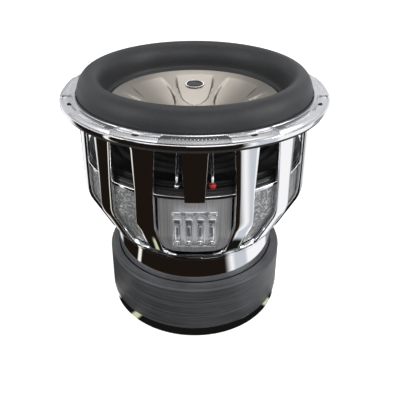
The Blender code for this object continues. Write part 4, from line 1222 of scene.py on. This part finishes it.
def make_dish():
    rows, columns = 84, 336
    radii = [DISH_RADIUS - (DISH_RADIUS - 0.004) * step / rows for step in range(rows + 1)]
    points = []
    for radius in radii:
        for column in range(columns):
            azimuth = 360.0 * column / columns
            height = dish_height(radius) - pocket_depth(radius, azimuth)
            points.append(at(radius, azimuth, height))
    faces = grid_faces(len(radii), columns, wrap_columns=True)
    centre = len(points)
    points.append(at(0.0, 0.0, dish_height(0.0)))
    last = rows * columns
    faces += [(last + j, centre, last + (j + 1) % columns) for j in range(columns)]
    dish = add_piece("dish", points, faces, CHAMPAGNE)
    if sum(face.normal.z for face in dish.data.polygons) > 0.0:
        dish.data.flip_normals()
    return settle(thicken(dish, DISH_WALL), 40.0)


hand_over(make_dish(), "cone_assembly", "champagne_dish", "front_dish")

# %% cone behind the dish
CONE_TOP = high("cone_body")
CONE_LOW = low("cone_body")
CONE_WALL = 0.0014
CONE_NECK = FORMER_OUTER + GAP
CONE_LIP_OUTER = reach("cone_body")
CONE_LIP_INNER = CONE_LIP_OUTER - 0.0073


def cone_line():
    """The cone from lip to neck, slightly bowed as pulp cones are."""
    start = (CONE_LIP_INNER, CONE_TOP - 0.5 * CONE_WALL)
    end = (CONE_NECK + 0.5 * CONE_WALL, CONE_LOW + 0.0007)
    line = [(CONE_LIP_OUTER, start[1]), (CONE_LIP_OUTER - 0.004, start[1])]
    steps = 24
    for step in range(steps + 1):
        share = step / steps
        bow = -0.0008 * math.sin(math.pi * share)
        radius = start[0] + (end[0] - start[0]) * share
        line.append((radius, start[1] + (end[1] - start[1]) * share + bow))
    return line


cone = lathe("pulp_cone", sheet_loop(cone_line(), CONE_WALL), PULP, 144)
hand_over(cone, "cone_assembly", "cone_pulp", "cone_body")

# %% badge
BADGE_HALF = Vector((0.0130, 0.00675))
BADGE_FALL = DISH_FALL + POCKET_DEPTH / (POCKET_END - POCKET_TIP)


def middle_of(node):
    lowest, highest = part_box(node)
    return 0.5 * (lowest + highest)


def make_oval(name, profile, material):
    """A turned profile, stretched into an oval, tilted and set on the dish."""
    piece = lathe(name, profile, material, 72)
    middle = middle_of("badge_rim")
    spin = Matrix.Rotation(math.atan(BADGE_FALL), 4, "X")
    stretch = Matrix.Diagonal((BADGE_HALF.x, BADGE_HALF.y, 1.0, 1.0))
    piece.data.transform(Matrix.Translation(middle) @ spin @ stretch)
    tidy_mesh(piece.data, 40.0)
    return piece


rim_profile = rounded(
    [
        (1.0, 0.0005, 0.05),
        (1.0, -0.0007, 0.0),
        (0.86, -0.0007, 0.0),
        (0.88, 0.0005, 0.04),
    ]
)
crown = [(0.0, 0.0004), (0.5, 0.00035), (0.8, 0.00015)]
face_profile = crown + [(0.855, -0.0001), (0.855, -0.0005), (0.0, -0.0005)]
hand_over(make_oval("badge_frame", rim_profile, PLATED), "cone_assembly", "chrome", "badge_rim")
hand_over(make_oval("badge_face", face_profile, GLOSS), "cone_assembly", "black_plastic", "badge")

# %% [markdown]
# ## The terminals
# Four spring terminals stand in a clear block on the brushed plate. Each has a post with a cross
# hole for the wire, a push button above it on a coil spring, and a set screw below. The posts and
# the screws are one piece each for all four, and the buttons are four pieces, because each moves
# by itself.

# %% clear block
TERMINALS = (-0.0189, -0.0063, 0.0063, 0.0189)
POST_RADIUS = 0.0026
POST_Y = middle_of("terminal_post_1").y
BLOCK_LOW, BLOCK_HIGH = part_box("terminal_block")
CHANNEL_HALF = 0.0042
CHANNEL_BACK = BLOCK_HIGH.y - 0.0012
CHANNEL_FLOOR = BLOCK_LOW.z + 0.0020
CHANNEL_REACH = 0.005


def numbered(stem):
    """The four nodes whose names start alike."""
    return ["%s_%d" % (stem, number) for number in (1, 2, 3, 4)]


def box_piece(name, lowest, highest, material):
    ends = (lowest, highest)
    points = [(a[0], b[1], c[2]) for a in ends for b in ends for c in ends]
    faces = [(0, 1, 3, 2), (4, 6, 7, 5), (0, 4, 5, 1), (2, 3, 7, 6), (0, 2, 6, 4), (1, 5, 7, 3)]
    return add_piece(name, points, faces, material)


def make_block():
    block = box_piece("acrylic_block", BLOCK_LOW, BLOCK_HIGH, ACRYLIC)
    tools = []
    for x in TERMINALS:
        lowest = (x - CHANNEL_HALF, BLOCK_LOW.y - CHANNEL_REACH, CHANNEL_FLOOR)
        highest = (x + CHANNEL_HALF, CHANNEL_BACK, BLOCK_HIGH.z + CHANNEL_REACH)
        tools.append(box_piece("channel", lowest, highest, ACRYLIC))
    return soften(cut(block, join("channels", tools)), 0.0005, angle=40.0, clamp=True)


hand_over(make_block(), "frame", "acrylic", "terminal_block")

# %% posts
POST_BORE = 0.0017
BORE_DEPTH = 0.0055
WIRE_HOLE = 0.0018
WIRE_HOLE_DEPTH = 0.0105
GROOVE = 0.0003


def wire_hole(centre):
    """A rod along Y, as long as two posts are thick, that cuts the cross hole."""
    steps = 24
    points = []
    for y in (-2.0 * POST_RADIUS, 2.0 * POST_RADIUS):
        for step in range(steps):
            angle = 2.0 * math.pi * step / steps
            points.append(centre + Vector((WIRE_HOLE * math.cos(angle), y, WIRE_HOLE * math.sin(angle))))
    return add_piece("hole", points, tube_faces(2, steps), BUTTON_METAL)


def make_post(x):
    """A post with two fine grooves, a bore for the button's stem and a cross hole."""
    bottom, top = low("terminal_post_1"), high("terminal_post_1")
    edge = 0.0004
    profile = [(0.0, bottom), (POST_RADIUS - edge, bottom), (POST_RADIUS, bottom + edge)]
    for level in (bottom + 0.0022, bottom + 0.0040):
        profile += [(POST_RADIUS, level), (POST_RADIUS - GROOVE, level + GROOVE)]
        profile += [(POST_RADIUS, level + 2.0 * GROOVE)]
    profile += [(POST_RADIUS, top - edge), (POST_RADIUS - edge, top), (POST_BORE, top)]
    profile += [(POST_BORE, top - BORE_DEPTH), (0.0, top - BORE_DEPTH)]
    post = lathe("post", profile, BUTTON_METAL, 32, closed=False, centre=(x, POST_Y))
    return cut(post, wire_hole(Vector((x, POST_Y, top - WIRE_HOLE_DEPTH))))


posts = join("posts", [make_post(x) for x in TERMINALS])
hand_over(posts, "frame", "plated_metal", *numbered("terminal_post"))

# %% set screws and buttons
CAP_HEIGHT = 0.0055
STEM_RADIUS = 0.0012


def make_set_screw(x):
    """A domed screw end with a hexagonal socket, turned to face the front."""
    lowest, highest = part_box("terminal_screw_1")
    radius = 0.6 * (highest.z - lowest.z)
    back = highest.y - lowest.y
    profile = [(0.0, back), (radius, back), (radius, 0.0010)]
    profile += [(0.8 * radius, 0.0003), (0.45 * radius, 0.0), (0.0, 0.0)]
    screw = lathe("screw", profile, PLATED, 36, closed=False)
    hexagon = 0.42 * radius
    profile = [(0.0, 0.0016), (hexagon, 0.0016), (hexagon, -0.001), (0.0, -0.001)]
    cut(screw, lathe("socket", profile, PLATED, 6, closed=False))
    place = Matrix.Translation((x, lowest.y, middle_of("terminal_screw_1").z))
    screw.data.transform(place @ Matrix.Rotation(math.radians(-90.0), 4, "X"))
    return screw


screws = join("set_screws", [make_set_screw(x) for x in TERMINALS])
hand_over(screws, "frame", "plated_metal", *numbered("terminal_screw"))

for number, x in enumerate(TERMINALS, 1):
    node = "terminal_button_%d" % number
    lowest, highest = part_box(node)
    cap_low = highest.z - CAP_HEIGHT
    cap = box_piece("button_%d_cap" % number, (lowest.x, lowest.y, cap_low), highest, BUTTON_METAL)
    soften(cap, 0.0010, 3, angle=40.0, clamp=True)
    stem_top = cap_low + 0.001
    profile = [(0.0, stem_top), (STEM_RADIUS, stem_top), (STEM_RADIUS, lowest.z), (0.0, lowest.z)]
    stem = lathe("stem", profile, BUTTON_METAL, 20, closed=False, centre=(x, POST_Y))
    hand_over(join("button_%d_bar" % number, [cap, stem]), "button_%d" % number, "plated_metal", node)


# %% tubes along a path, for springs and leads
def tube(name, path, radius, material, sides):
    """A round wire with closed ends, carrying a UV map that follows it."""
    points, uvs = [], []
    normal = Vector((0.0, 0.0, 1.0))
    length = 0.0
    for index, point in enumerate(path):
        before = path[max(0, index - 1)]
        after = path[min(len(path) - 1, index + 1)]
        along = (after - before).normalized()
        normal = (normal - along * normal.dot(along)).normalized()
        if index == 0 and abs(along.z) > 0.9:
            normal = Vector((1.0, 0.0, 0.0))
        side = along.cross(normal)
        length += (point - before).length if index else 0.0
        for step in range(sides):
            angle = 2.0 * math.pi * step / sides
            points.append(point + radius * (math.cos(angle) * normal + math.sin(angle) * side))
            uvs.append((step / sides, length / (6.0 * radius)))
    wire = add_piece(name, points, tube_faces(len(path), sides), material)
    layer = wire.data.uv_layers.new(name="UVMap")
    for face in wire.data.polygons:
        seen = [uvs[v][0] for v in face.vertices]
        for loop, vertex in zip(face.loop_indices, face.vertices):
            u, v = uvs[vertex]
            wraps = len(face.vertices) == 4 and max(seen) - min(seen) > 0.5 and u < 0.5
            layer.data[loop].uv = (u + 1.0 if wraps else u, v)
    return wire


SPRING_TURNS = 3.5
SPRING_RADIUS = 0.0020
SPRING_WIRE = 0.00025
SPRING_STEPS = 84


def spring_path(x, bottom, top):
    path = []
    for step in range(SPRING_STEPS + 1):
        share = step / SPRING_STEPS
        angle = 2.0 * math.pi * SPRING_TURNS * share
        out = Vector((math.cos(angle), math.sin(angle), 0.0)) * SPRING_RADIUS
        path.append(out + Vector((x, POST_Y, bottom + (top - bottom) * share)))
    return path


for number, x in enumerate(TERMINALS, 1):
    node = "button_spring_%d" % number
    bottom, top = low(node) + SPRING_WIRE, high(node) - SPRING_WIRE
    spring = tube(node + "_coil", spring_path(x, bottom, top), SPRING_WIRE, SPRING_STEEL, 8)
    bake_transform(spring)
    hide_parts(node)
print("four springs of %.1f turns" % SPRING_TURNS)

# %% [markdown]
# The tinsel leads are braided so that they can flex millions of times. Each rises out of a bead
# on the spider ring and runs over to the back of the cone. It is held at both ends, so it is no
# free cord; here each lead is a fixed tube with its place baked into its mesh.

# %% leads and beads
LEAD_END = 0.0710
LEAD_RISE = 0.0150
LEAD_OVER = 0.0300
LEAD_RADIUS = 0.0016
LEAD_STEPS = 48


def bead_profile(bottom, size):
    """A round bead on a short foot."""
    tall = 0.85 * size
    profile = [(0.0, bottom), (0.6 * size, bottom)]
    for step in range(11):
        angle = math.radians(-50.0 + 13.8 * step)
        profile.append((size * math.cos(angle), bottom + 0.77 * tall + tall * math.sin(angle)))
    return profile + [(0.0, bottom + 1.77 * tall)]


def lead_path(start, end):
    """A curve that rises straight out of the bead and then runs over to the cone."""
    rise = start + Vector((0.0, 0.0, LEAD_RISE))
    over = rise + Vector((0.0, LEAD_OVER, 0.0))
    path = []
    for step in range(LEAD_STEPS + 1):
        t = step / LEAD_STEPS
        s = 1.0 - t
        path.append(s**3 * start + 3 * s * s * t * rise + 3 * s * t * t * over + t**3 * end)
    return path


for number, x in enumerate(TERMINALS, 1):
    node = "lead_bead_%d" % number
    bottom, top = low(node), high(node)
    y = middle_of(node).y
    is_red = number == 4
    size, finish, slot = (0.0042, RED, "red_plastic") if is_red else (0.0032, PLATED, "plated_metal")
    profile = bead_profile(bottom, size)
    bead = lathe("bead_%d" % number, profile, finish, 28, closed=False, centre=(x, y))
    hand_over(bead, "frame", slot, node)

    node = "tinsel_lead_%d" % number
    start = Vector((x, y, top + GAP))
    end = Vector((x, -LEAD_END, high(node) - 0.0008))
    lead = tube("lead_%d" % number, lead_path(start, end), LEAD_RADIUS, TINSEL, 14)
    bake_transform(lead)
    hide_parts(node)
print("four leads")

# %% motor screws
SOCKET_RADIUS = 0.0024
SOCKET_DEPTH = 0.0022
AXIS_HOLE = 0.0002
SCREW_LOW, SCREW_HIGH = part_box("motor_screw_1")
screw_radius = 0.5 * (SCREW_HIGH.x - SCREW_LOW.x)
cap_profile = rounded(
    [
        (screw_radius, SCREW_HIGH.z, 0.0006),
        (screw_radius, SCREW_LOW.z, 0.0003),
        (AXIS_HOLE, SCREW_LOW.z, 0.0),
        (AXIS_HOLE, SCREW_HIGH.z - SOCKET_DEPTH, 0.0),
        (SOCKET_RADIUS, SCREW_HIGH.z - SOCKET_DEPTH, 0.0),
        (SOCKET_RADIUS, SCREW_HIGH.z, 0.0003),
    ],
    2,
)
screw_circle = middle_of("motor_screw_1").xy.length
cap_screw = lathe("cap_screw", cap_profile, SCREW_BLACK, 30, centre=(0.0, -screw_circle))
cap_screws = copies_round("cap_screws", cap_screw, 4, first=45.0)
hand_over(cap_screws, "frame", "black_plastic", *numbered("motor_screw"))

# %% [markdown]
# ## The studio
# The floor and the surroundings are plain and pale. Chrome shows whatever stands round it, so two
# dark and white cards stand for a room, and are seen only in reflections. One lies flat on the
# floor: dark in front and at the left, white at the right and behind, with narrower bands near the
# speaker for the back plate. The other is a wide upright ring of soft curtains.

# %% floor and world
FLOOR_SIZE = 14.0
FLOOR_LEVEL = -0.0006
FLOOR_GLOW = 0.75
WORLD_GLOW = 0.42
BACKDROP_GLOW = 1.1


def make_floor():
    paint = Paint("pale_floor", Base_Color=(0.92, 0.92, 0.92), Roughness=0.9, Specular_IOR_Level=0.0)
    paint.set("Emission Color", (1.0, 1.0, 1.0))
    paint.set("Emission Strength", FLOOR_GLOW)
    corners = ((-1, -1), (1, -1), (1, 1), (-1, 1))
    points = [(FLOOR_SIZE * x, FLOOR_SIZE * y, FLOOR_LEVEL) for x, y in corners]
    floor = add_piece("floor", points, [(0, 1, 2, 3)], paint.material)
    floor.visible_glossy = False
    floor.visible_diffuse = False
    floor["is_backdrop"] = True


def make_world():
    """White light all round, and a brighter white where the camera sees past the floor."""
    world = bpy.data.worlds.new("studio")
    bpy.context.scene.world = world
    world.use_nodes = True
    tree = world.node_tree
    path = tree.nodes.new("ShaderNodeLightPath")
    pick = tree.nodes.new("ShaderNodeMix")
    pick.data_type = "FLOAT"
    pick.inputs["A"].default_value = WORLD_GLOW
    pick.inputs["B"].default_value = BACKDROP_GLOW
    tree.links.new(path.outputs["Is Camera Ray"], pick.inputs["Factor"])
    ground = tree.nodes["Background"]
    ground.inputs["Color"].default_value = (1.0, 1.0, 1.0, 1.0)
    tree.links.new(pick.outputs["Result"], ground.inputs["Strength"])


make_floor()
make_world()


# %% cards
WHITE = (1.0, 1.0, 1.0)
CARD_LEVEL = -0.0003


def painted(paint, tone, bands):
    """A tone with bands painted over it, each a colour and its share."""
    for colour, share in bands:
        tone = paint.mix(tone, colour, share)
    return tone


def hang_card(name, paint, tone, rims):
    """A glowing ring between two circles, each (radius, height), seen only in reflections."""
    glow = paint.node("ShaderNodeEmission", None, {"Color": tone, "Strength": 1.0})
    paint.feed(paint.tree.nodes["Material Output"].inputs["Surface"], glow)
    steps = 96
    points = [at(radius, 360.0 * step / steps, height) for radius, height in rims for step in range(steps)]
    card = add_piece(name, points, grid_faces(2, steps, wrap_columns=True), paint.material)
    card.visible_camera = False
    card.visible_diffuse = False
    card.visible_shadow = False
    card.visible_transmission = False
    card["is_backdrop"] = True


def make_floor_card():
    """A flat card whose brightness depends on the direction from the speaker."""
    paint = Paint("card_bands")
    radius, azimuth, _ = paint.polar()
    degrees = azimuth * (180.0 / math.pi)

    def band(start, end, soft):
        return degrees.between(start - soft, start + soft) * (1.0 - degrees.between(end - soft, end + soft))

    far_bands = (
        ((1.0, 0.97, 0.86), band(-71.0, -66.0, 1.2)),
        (WHITE, degrees.between(34.0, 44.0)),
        (WHITE, 1.0 - degrees.between(-114.0, -102.0)),
        ((0.50, 0.54, 0.60), band(46.0, 64.0, 3.0) * 0.8),
        ((0.30, 0.31, 0.33), band(104.0, 122.0, 4.0)),
        ((0.34, 0.35, 0.37), band(-152.0, -138.0, 4.0)),
    )
    close_bands = (
        ((0.62, 0.66, 0.42), band(-48.0, -42.0, 1.5)),
        ((0.60, 0.65, 0.45), band(58.0, 66.0, 1.5)),
        (WHITE, band(74.0, 112.0, 4.0)),
        (WHITE, band(146.0, 158.0, 3.0)),
        (WHITE, band(-160.0, -120.0, 4.0)),
        (WHITE, band(-82.0, -68.0, 3.0)),
    )
    far = painted(paint, (0.012, 0.008, 0.006), far_bands)
    close = painted(paint, (0.008, 0.008, 0.007), close_bands)
    tone = paint.mix(close, far, radius.between(0.134, 0.142))
    hang_card("card", paint, tone, ((0.02, CARD_LEVEL), (6.0, CARD_LEVEL)))


def make_curtains():
    """Soft upright bands, which polished metal shows when it is seen from the side."""
    paint = Paint("curtains")
    _, azimuth, height = paint.polar()
    waves = (azimuth * 7.0).sine() * 0.55 + (azimuth * 3.0 + 0.8).sine() * 0.45
    belt = height.between(1.3, 1.8) * (1.0 - height.between(4.2, 5.0))
    bands = (((0.86, 0.87, 0.90), waves.between(-0.25, 0.15)), ((0.90, 0.91, 0.93), belt * 0.9))
    tone = painted(paint, (0.02, 0.02, 0.022), bands)
    hang_card("curtains", paint, tone, ((5.8, 0.0), (5.8, 5.2)))


make_floor_card()
make_curtains()
print("one flat card and one ring of curtains")

# %% lights
def add_light(name, place, target, width, height, power):
    data = bpy.data.lights.new(name, "AREA")
    data.shape = "RECTANGLE"
    data.size = width
    data.size_y = height
    data.energy = power
    light = new_object(name, data)
    light.location = place
    aim = Vector(target) - Vector(place)
    light.rotation_euler = aim.to_track_quat("-Z", "Y").to_euler()


add_light("overhead", (0.0, 0.3, 1.9), (0.0, 0.0, 0.25), 1.5, 1.0, 7.5)
add_light("left_box", (-1.5, -0.7, 1.0), (0.0, 0.0, 0.2), 0.7, 1.1, 7.0)
add_light("front_fill", (0.25, -1.7, 1.15), (0.0, 0.0, 0.15), 1.0, 0.8, 6.0)
add_light("right_box", (1.5, -0.5, 1.0), (0.0, 0.0, 0.2), 0.8, 1.1, 10.0)

# %% [markdown]
# The camera looks down at the speaker from in front, from less than a metre away. Its view is
# shifted a little, which keeps the upright lines nearly upright.

# %% camera
CAMERA_BACK = 0.6067
CAMERA_HEIGHT = 0.5087
CAMERA_PITCH = 26.11
LENS = 46.78
SENSOR = 36.0
SHIFT_X = 0.0133
SHIFT_Y = -0.13
camera_data = bpy.data.cameras.new("camera")
camera_data.lens = LENS
camera_data.sensor_width = SENSOR
camera_data.shift_x = SHIFT_X
camera_data.shift_y = SHIFT_Y
camera = new_object("camera", camera_data)
camera.location = (0.0, -CAMERA_BACK, CAMERA_HEIGHT)
camera.rotation_euler = (math.radians(90.0 - CAMERA_PITCH), 0.0, 0.0)
bpy.context.scene.camera = camera
bpy.context.scene.view_settings.view_transform = "Standard"
print("camera at %.2f m in front and %.2f m up" % (CAMERA_BACK, CAMERA_HEIGHT))

# %% sizes
boxes = [[list(corner_point) for corner_point in box] for box in (CAD_BOX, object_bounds())]
print("CAD box and visual box", [[round(v * 1000, 1) for v in p] for box in boxes for p in box])
